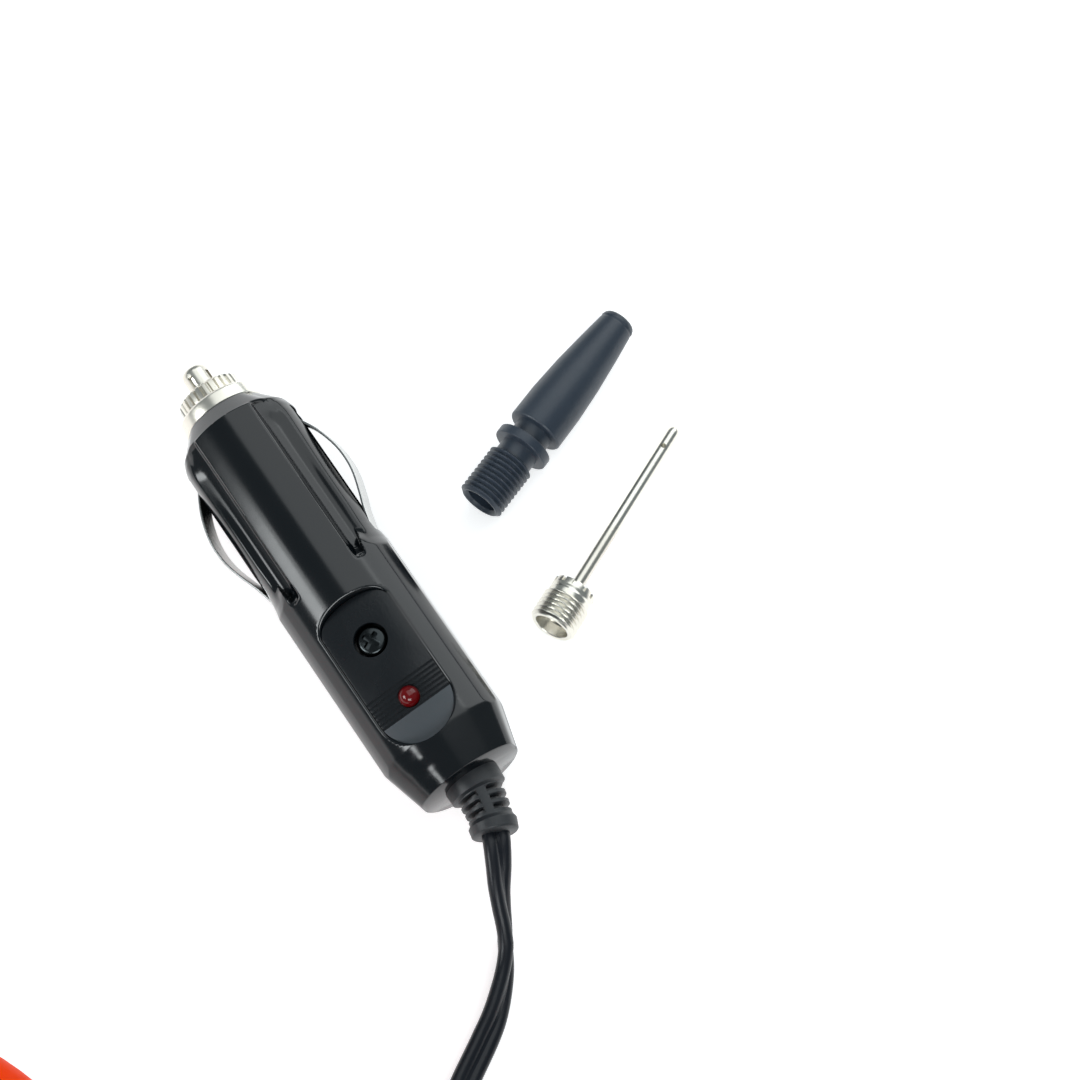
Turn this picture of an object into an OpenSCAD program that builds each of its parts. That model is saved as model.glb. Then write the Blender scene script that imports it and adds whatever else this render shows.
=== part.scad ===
// Portable tyre inflator with its accessory-socket plug, lead, nozzle adaptor and ball needle.
// The housing stands on z = 0 with the origin under its middle, its front towards -Y.
// The plug and the adaptors lie on the same surface behind it. Millimetres and degrees.

/* [Housing] */
// Width of the housing, left to right
housing_w = 156; // [140:1:190]
// Depth of the housing, front to back
housing_d = 78; // [74:1:84]
// Height of the housing's top above the surface
housing_h = 112; // [108:1:125]
// Wall of the two housing shells
wall = 2.2; // [1.6:0.1:3]
// Rounding of the housing's top edge
top_edge_r = 14; // [8:1:20]
// Rounding of the housing's bottom edge
bottom_edge_r = 5; // [3.5:0.5:7]
// Thickness of the rubber sole
sole_h = 2; // [1.5:0.5:4]
// How far the sole stays inside the housing's outline
sole_inset = 3.5; // [3:0.5:6]
// Width and depth of the joint line between the shells
seam_w = 0.8; // [0.5:0.1:1.2]
// Width of one vent slot
vent_w = 2.4; // [1.5:0.1:3]
// Length of one vent slot
vent_len = 26; // [14:1:30]
// Number of vent slots in the back
vent_count = 8; // [4:1:9]

/* [Front panel] */
// Width of the front panel
panel_w = 70; // [64:1:76]
// Height of the front panel
panel_h = 84; // [80:1:86]
// Thickness of the front panel
panel_t = 1.6; // [1.2:0.1:2]
// How far the panel stands out of its recess
panel_proud = 0.5; // [0.2:0.1:0.8]
// Corner rounding of the front panel
panel_r = 9; // [4:1:12]

/* [Handle] */
// Distance between the handle's two posts
handle_span = 92; // [80:1:100]
// Radius of the handle's bar
handle_r = 8.5; // [7.5:0.1:10]
// Radius of the handle's two bends
handle_bend = 18; // [16:1:20]
// Height of the straight part of each post
handle_post = 16; // [12:1:24]
// Thickness of the rubber grip
grip_t = 1.6; // [1:0.1:2.4]
// Number of rings cut into the grip
grip_rings = 9; // [5:1:11]

/* [Gauge] */
// Outside radius of the gauge's bezel
bezel_r = 26; // [25:0.5:28]
// Radius of the gauge's can
gauge_r = 23; // [21:0.5:23.5]
// Depth of the can behind the panel
gauge_depth = 19; // [14:1:22]
// Height of the gauge's centre
gauge_z = 70; // [68:1:72]
// Length of the pressure needle from its centre
pointer_len = 16; // [12:0.5:18]
// Sweep of the pressure needle
pointer_sweep = 270; // [240:5:300]

/* [Switch] */
// Width of the rocker
rocker_w = 13; // [10:0.5:15]
// Height of the rocker
rocker_h = 20; // [16:0.5:20]
// Tilt of the rocker to either side
rocker_tilt = 8; // [5:1:10]
// Height of the switch's centre
switch_z = 28; // [27:1:29]
// Width of the switch frame's rim
switch_rim = 3; // [2:0.5:4]

/* [Pump] */
// Radius of the motor's can
motor_r = 17.8; // [16:0.1:18]
// Length of the motor's can
motor_len = 57; // [45:1:60]
// Module of the gears
gear_module = 0.8; // [0.75:0.05:0.85]
// Teeth of the drive gear
gear_teeth = 40; // [36:1:42]
// Teeth of the pinion
pinion_teeth = 8; // [8:1:10]
// Thickness of the drive gear
gear_t = 5; // [4:0.5:6]
// Radius of the crank, half the stroke
crank_r = 7; // [5:0.5:8]
// Radius of the cylinder's bore
bore_r = 9; // [7.5:0.5:9.5]
// Wall of the cylinder
cylinder_wall = 2; // [1.5:0.1:2.5]
// Number of cooling fins
fin_count = 6; // [4:1:7]
// Radius of the hose outlet's thread
outlet_r = 4.8; // [4:0.1:5.5]
// Length of the hose outlet's thread
outlet_len = 9; // [7:0.5:12]

/* [Plug] */
// Length of the plug's body
body_len = 69.9; // [69:0.1:74]
// Radius of the part that goes into the socket
front_r = 10.05; // [9.8:0.05:10.3]
// Radius of the waist behind it
waist_r = 9.7; // [9:0.1:9.8]
// Where the waist ends and the grip begins
grip_start = 31; // [30:0.5:32]
// Half the width of the grip
grip_half_w = 10.2; // [10:0.1:11]
// Height of the grip's flat top above the axis
grip_top = 9.6; // [9.3:0.1:9.8]
// Radius of the body's flat end
end_r = 8.3; // [8:0.1:9]
// Radius of the fuse chamber
chamber_r = 4; // [3.8:0.1:4.2]
// Radius of the nickel collar
collar_r = 6.8; // [6.4:0.1:7]
// Length of the nickel collar
collar_len = 2.7; // [2:0.1:3.5]
// Radius of the knurled fuse cap
cap_r = 5.25; // [5:0.05:5.6]
// Length of the knurled fuse cap
cap_len = 2.8; // [2.5:0.1:3.4]
// Teeth of the knurled fuse cap
knurl_count = 28; // [20:1:36]
// Radius of the tip pin
pin_r = 2.15; // [1.9:0.05:2.3]
// How far the tip pin stands out of its cap
pin_out = 4.2; // [3.5:0.1:5]
// Travel of the tip pin
pin_travel = 2.5; // [1.5:0.1:3]
// Radius of the fuse
fuse_r = 3.15; // [3:0.05:3.2]
// Length of the fuse
fuse_len = 30; // [28:0.5:30]
// Height of the spring contact strips
strip_w = 3.5; // [3:0.1:4]
// Thickness of the spring contact strips
strip_t = 0.4; // [0.3:0.05:0.5]
// How far the strips bulge out of the body
strip_bulge = 3.1; // [2.4:0.1:3.4]
// Half the length of the bulge
strip_half_len = 9; // [8:0.5:10]
// Where the bulge is widest
strip_mid = 16.6; // [16:0.1:18]
// Travel of the strips
strip_travel = 2; // [1:0.1:2]

/* [Plug face] */
// Where the recess for the face plate begins
plate_start = 39.2; // [38:0.1:40]
// Where it ends
plate_end = 63.6; // [62:0.1:64]
// Half the width of the face plate
plate_half_w = 6.05; // [5.8:0.05:6.2]
// Thickness of the face plate
plate_t = 1.1; // [0.8:0.1:1.3]
// Place of the screw along the plug
screw_at = 45.5; // [45:0.1:46.5]
// Place of the indicator lamp along the plug
lamp_at = 56.5; // [55.5:0.1:57]
// Radius of the indicator lamp
lamp_r = 1.75; // [1.5:0.05:2]
// Width of the raised land on the front part, at its front end
land_w_front = 10.9; // [10:0.1:12]
// Width of the raised land at its rear end
land_w_rear = 12.6; // [11:0.1:13]
// Depth of the hollows on both sides of the land
hollow_depth = 1.1; // [0.6:0.1:1.4]

/* [Lead] */
// Width of the twin lead
lead_d = 4.4; // [4.2:0.1:4.6]
// Length of the plug's strain relief
relief_len = 9.2; // [8.6:0.1:9.8]
// Largest radius of the plug's strain relief
relief_r = 4.4; // [4:0.1:4.6]
// Ribs on the plug's strain relief
relief_ribs = 3; // [2:1:4]
// Bend of the strain relief
relief_bend = 20; // [15:1:25]
// Length of the gland's sleeve at the housing
gland_len = 14; // [12:1:16]
// Height of the gland above the surface
gland_z = 13; // [12:0.5:15]

/* [Coil] */
// Centreline radius of the coil's inmost turn
coil_r_in = 18.5; // [17:0.5:20]
// Gap from turn to turn
turn_gap = 0.6; // [0.5:0.1:1]
// Gap from layer to layer
layer_gap = 0.5; // [0.5:0.1:0.8]
// Whole turns of the coil
coil_whole_turns = 15; // [14:1:17]

/* [Nozzle adaptor] */
// Radius of the thread
nozzle_thread_r = 3.83; // [3.5:0.01:4]
// Length of the thread
nozzle_thread_len = 8.5; // [7:0.1:10]
// Radius of the bore in the threaded end
nozzle_bore_r = 2.6; // [2:0.1:2.8]
// Radius of the flange
flange_r = 4.65; // [4.5:0.05:4.8]
// Radius of the neck on both sides of the flange
neck_r = 3.15; // [3:0.05:3.4]
// Radius of the cone's base
cone_r = 4.55; // [4.2:0.05:4.6]
// Radius of the cone's tip
cone_tip_r = 2.5; // [2:0.1:3]
// Length of the cone
cone_len = 23.5; // [20:0.5:28]

/* [Ball needle] */
// Radius of the needle's threaded hub
hub_r = 3.85; // [3.5:0.05:4]
// Length of the needle's hub
hub_len = 7.5; // [6:0.1:9]
// Radius of the needle's tube
needle_r = 1; // [0.9:0.05:1.2]
// How far the tube stands out of the hub
needle_len = 32.6; // [28:0.1:36]

/* [Hidden] */

$fn = 64;
far = 400;            // larger than any piece, for halving and cutting
fit = 0.15;           // gap round pieces that are set into one another
running = 0.06;       // gap round a shaft in its bearing
moving = 0.3;         // gap between pieces that move past each other

// Housing, worked out
straight = housing_w - housing_d;
shell_bottom = sole_h;
front_y = -housing_d / 2;
screw_x = straight / 2 + 21;
screw_z_low = shell_bottom + 18;
screw_z_high = housing_h - 20;
boss_r = 4;
screw_head_r = 2.9;
screw_core_r = 1.25;
screw_shank_r = 1.5;
screw_len = 16;
well_y = 14;          // how far from the joint the screw wells end
vent_pitch = 5.6;
vent_z = 30;
vent_x = 16;

// Panel, worked out
panel_z = shell_bottom + bottom_edge_r + 5.5 + panel_h / 2;
panel_face = front_y - panel_proud;
panel_back = panel_face + panel_t;

// Gauge, worked out
can_front = panel_face - 2.3;
can_wall = 1.4;
can_back = panel_back + gauge_depth;
dial_face = can_front + 3;
dial_t = 0.8;
pointer_t = 0.5;
arbor_r = 0.6;
lens_t = 1;
bezel_lip = 1;
bezel_in_r = gauge_r - 2.2;
pointer_zero = 225;   // where the pointer rests, clockwise from straight up

// Switch, worked out
frame_w = rocker_w + 2 * switch_rim + 2 * moving;
frame_h = rocker_h + 2 * switch_rim + 2 * moving;
switch_body_w = frame_w - 3;
switch_body_h = frame_h - 3;
switch_front = panel_face - 1.4;
switch_back = panel_back + 13;
rocker_axis_y = panel_face + 3;
rocker_pin_r = 1.5;

// Handle, worked out
bar_z = housing_h + handle_post + handle_bend;
bar_half = handle_span / 2 - handle_bend;
grip_half = bar_half - 2;
grip_bed_r = handle_r - 0.5;

// Pump, worked out: the motor and the gear turn about X, the piston moves along Z
motor_y = 14;
motor_z = shell_bottom + wall + 4 + motor_r;
plate_x = -15;
plate_thick = 3;
plate_low_y = -3;
plate_high_y = 31;
cradle_x = 20;
motor_boss_r = 5;
shaft_r = 1.5;
gear_x = plate_x - 1.5 - gear_t;
gear_r = gear_module * gear_teeth / 2;
pinion_r = gear_module * pinion_teeth / 2;
gear_z = motor_z + gear_r + pinion_r + 0.12;
axle_r = 2;
rod_t = 3.5;
crank_pin_r = 2;
piston_low = gear_z + gear_r + gear_module + 4;
piston_h = 6;
cylinder_bottom = piston_low - 2;
cylinder_top = piston_low + piston_h + 2 * crank_r + 2;
fin_r = bore_r + cylinder_wall + 2.5;
cylinder_x = min(plate_x - fin_r, gear_x - 6) - 0.45;
rod_from = cylinder_x - rod_t / 2;
crank_pin_len = gear_x - moving - rod_from - rod_t;
head_t = 6;
port_len = 3;
pipe_r = 2;
wire_r = 1.2;
port_off = pipe_r + 3;
port_y = motor_y - fin_r - port_len;
port_z = cylinder_top + head_t / 2;
gauge_stub = can_back + 8;
hose_z = screw_z_high - 17;
outlet_flange_r = outlet_r + 2.4;
outlet_face = -housing_w / 2 + 0.9;
outlet_in = -housing_w / 2 + wall + 4;

// Gland, worked out
gland_r = 6.4;
gland_face = housing_w / 2 - 0.6;
gland_hole_r = 4.6;
gland_flange = 2;
gland_end = gland_face + gland_len;
gland_in = gland_face - wall - 3;

// Plug, worked out. In its own frame X runs from the body's front face to the lead,
// Z is the side with the face plate, and the axis lies at Y = Z = 0.
plug_x = 74.6;
plug_y = 154.2;
plug_z = grip_half_w + 0.1;
plug_heading = 33.4;  // how far the tip points to the left of +Y
plug_roll = 13.5;
taper_start = body_len - 7.1;
strip_out = front_r + strip_bulge;
strip_bend_r = (pow(strip_half_len, 2) + pow(strip_bulge, 2)) / (2 * strip_bulge);
strip_reach = strip_half_len + 2.4;
slot_half_h = strip_w / 2 + moving;
slot_in = chamber_r + 0.7;
slot_from = strip_mid - strip_reach - moving;
slot_to = strip_mid + strip_reach + moving;
cap_bore = 3.5;
spigot_r = 4.9;
spigot_len = 3.6;
fuse_at = 1;
spring_at = fuse_at + fuse_len;
spring_len = 8;
spring_r = 2.5;
spring_wire = 0.35;
spring_turns = 6;
chamber_end = spring_at + spring_len;
board_from = screw_at + 4;
board_to = taper_start - 0.5;
board_half_w = 5.5;
board_t = 1.2;
board_top = 3;
plate_floor = grip_top - plate_t - 0.2;
screw_head = 2.3;
screw_shank = 1.1;
screw_recess = 2.7;

// Strain relief, worked out
relief_bend_r = relief_len / (relief_bend * PI / 180);

// Nozzle adaptor and needle: where they lie, and how far they point to the right of +Y
nozzle_x = 114.1;
nozzle_y = 142.9;
nozzle_heading = 35.3;
flange_t = 1.6;
neck_len = 2.3;
needle_x = 125.2;
needle_y = 122.4;
needle_heading = 29.6;
needle_drop = atan((hub_r - needle_r) / (needle_len + 0.9));
needle_z = hub_r * cos(needle_drop) + (hub_len - 1.9) * sin(needle_drop) + 0.02;

// Coil, worked out
coil_left = 113.1;    // the left edge of its outmost turn
coil_y = 4.5;
coil_from = 165;      // where the tail joins it
coil_to = 190;        // where the free stretch leaves it
coil_layers = 4;
turn_pitch = lead_d + turn_gap;
layer_pitch = lead_d + layer_gap;
coil_turns = coil_whole_turns + (360 - coil_to + coil_from) / 360;
layer_turns = coil_turns / coil_layers;
coil_r_out = coil_r_in + turn_pitch * layer_turns;
coil_x = coil_left + coil_r_out;
coil_rings = 24;
lead_z = lead_d / 2 + 0.05;

// ---- Curves and tubes ----

function unit(v) = v / norm(v);
function along(p, i) = unit(p[min(i + 1, len(p) - 1)] - p[max(i - 1, 0)]);
function side_of(t) = unit(cross([0, 0, 1], t));
function clamp(v, low, high) = min(max(v, low), high);
function tail_of(v) = [for (i = [1:len(v) - 1]) v[i]];
function sum(v, i = 0) = i < len(v) ? v[i] + sum(v, i + 1) : 0;

// A curve from a to b that leaves a along u and reaches b along v
function bend(a, u, b, v, steps = 14) = [
  for (i = [0:steps])
    let (t = i / steps, s = 1 - t)
      s * s * s * a + 3 * s * s * t * (a + u) + 3 * s * t * t * (b - v) + t * t * t * b
];

// Rings of points round a path, the tube's skin; its end faces look along first and last
function ring_points(p, r, sides, first, last) = [
  for (i = [0:len(p) - 1])
    let (
      t = i == 0 ? unit(first) : i == len(p) - 1 ? unit(last) : along(p, i),
      n = side_of(t), b = cross(t, n)
    )
      for (k = [0:sides - 1])
        let (a = 360 * (k + 0.5) / sides)
          p[i] + r * (n * cos(a) + b * sin(a))
];
function skin_faces(rings, sides) = [
  for (i = [0:rings - 2], k = [0:sides - 1])
    let (a = i * sides + k, b = i * sides + (k + 1) % sides, c = a + sides, d = b + sides)
      each [[a, c, d], [a, d, b]]
];
function end_faces(first, sides, turned) = [
  for (k = [1:sides - 2])
    turned ? [first, first + k, first + k + 1] : [first, first + k + 1, first + k]
];

module tube(path, r, first, last, sides = 8) {
  last_ring = (len(path) - 1) * sides;
  polyhedron(
    ring_points(path, r, sides, first, last),
    concat(skin_faces(len(path), sides), end_faces(0, sides, true), end_faces(last_ring, sides, false))
  );
}

// One point of the coil, t turns from the tail's end. The radius swings between the inmost and
// the outmost turn, and the height climbs a layer in the half turn round each reversal.
function swing(t) = abs(((t / layer_turns) % 2) - 1) * layer_turns;
function layer_of(t) = sum([
  for (k = [1:coil_layers - 1]) clamp(2 * (t - k * layer_turns) + 0.5, 0, 1)
]);
function coil_point(t) =
  let (a = coil_from - 360 * t, r = coil_r_in + turn_pitch * swing(t))
    [coil_x + r * cos(a), coil_y + r * sin(a), lead_z + layer_pitch * layer_of(t)];
function heading_at(a) = [sin(a), -cos(a), 0];
coil_start = coil_point(0) - lead_d * heading_at(coil_from);
coil_finish = coil_point(coil_turns) + lead_d * heading_at(coil_to);
coil_steps = round(coil_turns * coil_rings);
coil_path = concat(
  [coil_start],
  [for (i = [0:coil_steps]) coil_point(coil_turns * i / coil_steps)],
  [coil_finish]
);

// The coil's least gap to itself: ring centres more than half a turn apart, less one diameter
coil_gap = min([
  for (i = [0:len(coil_path) - 1], j = [i + coil_rings / 2:1:len(coil_path) - 1])
    norm(coil_path[i] - coil_path[j])
]) - lead_d;
echo(coil_least_gap = coil_gap);

// The strain relief's end, and the two routes with their ends
relief_dir = plug_heading - 90;
relief_end_dir = relief_dir - relief_bend;
relief_base = [
  plug_x + body_len * sin(plug_heading), plug_y - body_len * cos(plug_heading), plug_z
];
relief_end = relief_base + relief_bend_r * [
  sin(relief_dir) - sin(relief_end_dir), cos(relief_end_dir) - cos(relief_dir), 0
];

// The tail bends down from the gland to the coil. The free stretch drops from the strain
// relief to the surface, sweeps to the left and climbs to the coil's top layer.
landing = [118.35, 70.5, lead_z];
sweep = [112.9, 53, lead_z];
tail_path = bend([gland_end, 0, gland_z], [12, 0, 0], coil_start, 12 * heading_at(coil_from));
free_path = concat(
  bend(relief_end, 8 * [cos(relief_end_dir), sin(relief_end_dir), 0], landing, [-0.4, -7, 0], 10),
  tail_of(bend(landing, [-0.4, -7, 0], sweep, [-2.4, -5.4, 0], 8)),
  tail_of(bend(sweep, [-6.5, -14.5, 0], coil_finish, -24 * heading_at(coil_to), 14))
);

// ---- Shared shapes ----

module lathe_x(points) {
  rotate([0, 90, 0]) rotate_extrude() polygon(points);
}

module lathe_y(points) {
  rotate([90, 0, 0]) rotate_extrude() polygon(points);
}

module rod_x(r, from, to) {
  translate([from, 0, 0]) rotate([0, 90, 0]) cylinder(r = r, h = to - from);
}

module rod_y(r, from, to) {
  translate([0, from, 0]) rotate([-90, 0, 0]) cylinder(r = r, h = to - from);
}

module ring_x(outer, inner, from, to) {
  difference() {
    rod_x(outer, from, to);
    rod_x(inner, from - 1, to + 1);
  }
}

module rounded_rect(w, h, r) {
  square([w, h - 2 * r], center = true);
  square([w - 2 * r, h], center = true);
  for (x = [-1, 1], y = [-1, 1]) translate([x * (w / 2 - r), y * (h / 2 - r)]) circle(r);
}

// A plate that faces the front, from y = from to y = to
module front_plate(w, h, r, from, to) {
  translate([0, to, 0]) rotate([90, 0, 0]) linear_extrude(to - from) rounded_rect(w, h, r);
}

module box(low, high) {
  translate(low) cube(high - low);
}

// ---- Housing ----

// Section across the housing, its outline moved inwards by inset
module housing_section(inset) {
  half = housing_d / 2 - inset;
  low = shell_bottom + inset;
  high = housing_h - inset;
  top_r = top_edge_r - inset;
  low_r = bottom_edge_r - inset;
  translate([-half, low + low_r]) square([2 * half, high - top_r - low - low_r]);
  translate([top_r - half, high - 2 * top_r]) square([2 * (half - top_r), 2 * top_r]);
  translate([low_r - half, low]) square([2 * (half - low_r), 2 * low_r]);
  for (s = [-1, 1]) {
    translate([s * (half - top_r), high - top_r]) circle(top_r);
    translate([s * (half - low_r), low + low_r]) circle(low_r);
  }
}

module housing_form(inset) {
  for (s = [-1, 1]) translate([s * straight / 2, 0, 0]) rotate_extrude($fn = 96) intersection() {
    housing_section(inset);
    square([far, far]);
  }
  rotate([90, 0, 90]) linear_extrude(straight, center = true) housing_section(inset);
}

module half_space(side) {
  translate([-far / 2, side > 0 ? 0 : -far, -far / 2]) cube(far);
}

module at_screws() {
  for (x = [-screw_x, screw_x], z = [screw_z_low, screw_z_high]) translate([x, 0, z]) children();
}

// One half of the housing with its screw bosses and the openings that both halves share
module shell_half(side) {
  difference() {
    intersection() {
      union() {
        difference() {
          housing_form(0);
          housing_form(wall);
        }
        intersection() {
          housing_form(wall / 2);
          at_screws() rod_y(boss_r, -housing_d, housing_d);
        }
      }
      half_space(side);
    }
    difference() {
      box([-far, -seam_w / 2, -far], [far, seam_w / 2, far]);
      housing_form(seam_w);
    }
    translate([0, 0, gland_z]) {
      rod_x(gland_hole_r, 0, housing_w);
      rod_x(gland_r + fit, gland_face, housing_w);
    }
    translate([0, 0, hose_z]) {
      rod_x(outlet_r + 0.2, -housing_w, 0);
      rod_x(outlet_flange_r + fit, -housing_w, outlet_face);
    }
  }
}

// The openings for the gauge and the switch
module front_holes() {
  translate([0, 0, gauge_z]) rod_y(gauge_r + fit, 2 * front_y, 0);
  translate([0, 0, switch_z])
    front_plate(switch_body_w + 2 * fit, switch_body_h + 2 * fit, 1, 2 * front_y, 0);
}

module front_shell() {
  color("orangered") difference() {
    shell_half(-1);
    translate([0, 0, panel_z])
      front_plate(panel_w + 2 * fit, panel_h + 2 * fit, panel_r, 2 * front_y, panel_back);
    front_holes();
    at_screws() rod_y(screw_core_r + 0.05, -screw_len - 1, 1);
  }
}

module vent_slot() {
  half = (vent_len - vent_w) / 2;
  for (z = [-half, half]) translate([0, 0, z]) rod_y(vent_w / 2, housing_d / 2 - 6, housing_d);
  box([-vent_w / 2, housing_d / 2 - 6, -half], [vent_w / 2, housing_d, half]);
}

// Two ribs that grip the pump's frame plate, and a cradle under the motor
module pump_seats() {
  for (x = [plate_x - 2.2 - fit, plate_x + plate_thick + fit])
    box([x, plate_high_y - 5, cylinder_bottom + 2], [x + 2.2, housing_d, cylinder_top - 2]);
  difference() {
    box([cradle_x, motor_y - 9, 0], [cradle_x + 3, motor_y + 9, motor_z]);
    translate([0, motor_y, motor_z]) rod_x(motor_r + fit, 0, far);
  }
}

module rear_shell() {
  color("orangered") difference() {
    union() {
      shell_half(1);
      intersection() {
        housing_form(wall / 2);
        pump_seats();
      }
    }
    at_screws() {
      rod_y(screw_shank_r + 0.2, -1, housing_d);
      rod_y(screw_head_r + 0.3, well_y, housing_d);
    }
    for (i = [0:vent_count - 1])
      translate([vent_x + (i - (vent_count - 1) / 2) * vent_pitch, 0, vent_z]) vent_slot();
  }
}

module shell_screws() {
  color("dimgray") at_screws() difference() {
    union() {
      rod_y(screw_core_r, 0.5 - screw_len, 0.5);
      rod_y(screw_shank_r, 0.2, well_y);
      rod_y(screw_head_r, well_y, well_y + 2.2);
    }
    for (a = [0, 90]) rotate([0, a, 0]) box([-1.6, well_y + 1, -0.4], [1.6, well_y + 3, 0.4]);
  }
}

module rubber_sole() {
  r = housing_d / 2 - sole_inset;
  color("black") linear_extrude(sole_h) {
    square([straight, 2 * r], center = true);
    for (s = [-1, 1]) translate([s * straight / 2, 0]) circle(r);
  }
}

module front_panel() {
  color("dimgray") difference() {
    translate([0, 0, panel_z]) front_plate(panel_w, panel_h, panel_r - fit, panel_face, panel_back);
    front_holes();
  }
}

// ---- Handle ----

module handle() {
  color("orangered") {
    difference() {
      translate([0, 0, bar_z]) rod_x(handle_r, -bar_half, bar_half);
      translate([0, 0, bar_z]) ring_x(2 * handle_r, grip_bed_r, -grip_half, grip_half);
    }
    for (s = [0, 180]) rotate([0, 0, s]) {
      translate([bar_half, 0, bar_z - handle_bend]) rotate([90, 0, 0])
        rotate_extrude(angle = 90) translate([handle_bend, 0]) circle(handle_r);
      translate([handle_span / 2, 0, housing_h]) {
        cylinder(r = handle_r, h = handle_post);
        cylinder(r = handle_r + 3, h = 3);
      }
    }
  }
}

module handle_grip() {
  pitch = 2 * grip_half / (grip_rings + 1);
  color("black") translate([0, 0, bar_z]) difference() {
    ring_x(handle_r + grip_t, grip_bed_r + 0.02, -grip_half, grip_half);
    for (i = [1:grip_rings]) translate([i * pitch - grip_half, 0, 0])
      ring_x(2 * handle_r, handle_r + grip_t - 0.7, -0.9, 0.9);
  }
}

// ---- Gauge ----

module gauge_can() {
  color("silver") translate([0, 0, gauge_z]) difference() {
    union() {
      rod_y(gauge_r, can_front, can_back);
      rod_y(4, can_back - 1, gauge_stub);
    }
    rod_y(gauge_r - can_wall, can_front - 1, dial_face + dial_t);
    difference() {
      rod_y(gauge_r - can_wall - 2, dial_face, can_back - 2);
      rod_y(3, dial_face + dial_t + 1.5, can_back);
    }
    rod_y(arbor_r + running, dial_face, dial_face + 7);
  }
}

module gauge_dial() {
  color("white") translate([0, 0, gauge_z]) difference() {
    rod_y(gauge_r - can_wall - 0.1, dial_face, dial_face + dial_t);
    rod_y(arbor_r + fit, dial_face - 1, dial_face + 2);
  }
}

module gauge_pointer() {
  y = dial_face - 1.6;
  color("red") translate([0, 0, gauge_z]) rotate([0, pointer_zero, 0]) {
    rod_y(2, y - 0.3, y + pointer_t + 0.2);
    rod_y(arbor_r, y, dial_face + 6);
    translate([0, y + pointer_t, 0]) rotate([90, 0, 0]) linear_extrude(pointer_t)
      polygon([[-1.1, -5], [1.1, -5], [0.25, pointer_len], [-0.25, pointer_len]]);
  }
}

module gauge_lens() {
  color("lightcyan", 0.4) translate([0, 0, gauge_z]) rod_y(gauge_r, can_front - lens_t, can_front);
}

module gauge_bezel() {
  back = -panel_face;
  lip = -can_front + lens_t;
  color("black") translate([0, 0, gauge_z]) lathe_y([
    [gauge_r + 0.05, back], [bezel_r, back], [bezel_r, lip - 1.4], [bezel_r - 1.4, lip + bezel_lip],
    [bezel_in_r + 0.6, lip + bezel_lip], [bezel_in_r, lip + 0.4], [bezel_in_r, lip], [gauge_r + 0.05, lip]
  ]);
}

// ---- Switch ----

module switch_frame() {
  open_w = rocker_w + 2 * moving;
  open_h = rocker_h + 2 * moving;
  color("black") translate([0, 0, switch_z]) difference() {
    union() {
      front_plate(frame_w, frame_h, 2, switch_front, panel_face);
      front_plate(switch_body_w, switch_body_h, 1, panel_face, switch_back);
    }
    box([-open_w / 2, switch_front - 1, -open_h / 2], [open_w / 2, switch_back - 2, open_h / 2]);
    translate([0, rocker_axis_y, 0]) rod_x(rocker_pin_r + running, -frame_w, frame_w);
  }
}

module rocker_switch() {
  h = rocker_h / 2;
  color("black") translate([0, rocker_axis_y, switch_z]) rotate([rocker_tilt, 0, 0]) {
    rotate([90, 0, 90]) linear_extrude(rocker_w, center = true) intersection() {
      polygon([[-5, -h], [-3.8, 0], [-5, h], [-1.5, h], [3, 3], [3, -3], [-1.5, -h]]);
      circle(h);
    }
    rod_x(rocker_pin_r, -rocker_w / 2 - 1.2, rocker_w / 2 + 1.2);
  }
}

// ---- Pump ----

// Outline of a spur gear; turned moves its teeth by a share of a tooth
module gear_outline(teeth, turned) {
  r = gear_module * teeth / 2;
  step = 360 / teeth;
  shape = [
    [r - 1.15 * gear_module, -0.27], [r, -0.19], [r + 0.8 * gear_module, -0.08],
    [r + 0.8 * gear_module, 0.08], [r, 0.19], [r - 1.15 * gear_module, 0.27]
  ];
  polygon([
    for (i = [0:teeth - 1], p = shape)
      let (a = (i + p[1] + turned) * step - 90) p[0] * [cos(a), sin(a)]
  ]);
}

module along_x(from, to) {
  translate([from, 0, 0]) rotate([90, 0, 90]) linear_extrude(to - from) children();
}

module motor_can() {
  front = plate_x + plate_thick;
  color("silver") translate([0, motor_y, motor_z]) difference() {
    union() {
      rod_x(motor_r, front, front + motor_len);
      rod_x(motor_boss_r, front - plate_thick + 0.5, front);
      rod_x(3.5, front + motor_len, front + motor_len + 2);
    }
    rod_x(shaft_r + running, front - plate_thick, front + 12);
    for (a = [0:60:300]) rotate([a, 0, 0]) translate([0, 11, 0])
      rod_x(1.6, front + motor_len - 1.5, far);
  }
}

module motor_shaft() {
  color("gray") translate([0, motor_y, motor_z]) {
    rod_x(shaft_r, gear_x - 1.5, plate_x + plate_thick + 11);
    along_x(gear_x - 0.5, gear_x + gear_t + 0.5) gear_outline(pinion_teeth, (pinion_teeth - 1) / 2);
  }
}

module frame_plate() {
  mid = (plate_low_y + plate_high_y) / 2;
  low = shell_bottom + wall + 0.2;
  color("gray") difference() {
    translate([0, mid, (low + cylinder_top) / 2]) along_x(plate_x, plate_x + plate_thick)
      rounded_rect(plate_high_y - plate_low_y, cylinder_top - low, 4);
    translate([0, motor_y, motor_z]) rod_x(motor_boss_r + 0.1, -far, far);
    translate([0, motor_y, gear_z]) rod_x(axle_r + 0.05, -far, far);
    for (y = [plate_low_y + 5, plate_high_y - 5]) translate([0, y, cylinder_bottom - 8]) rod_x(2, -far, far);
  }
}

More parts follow.
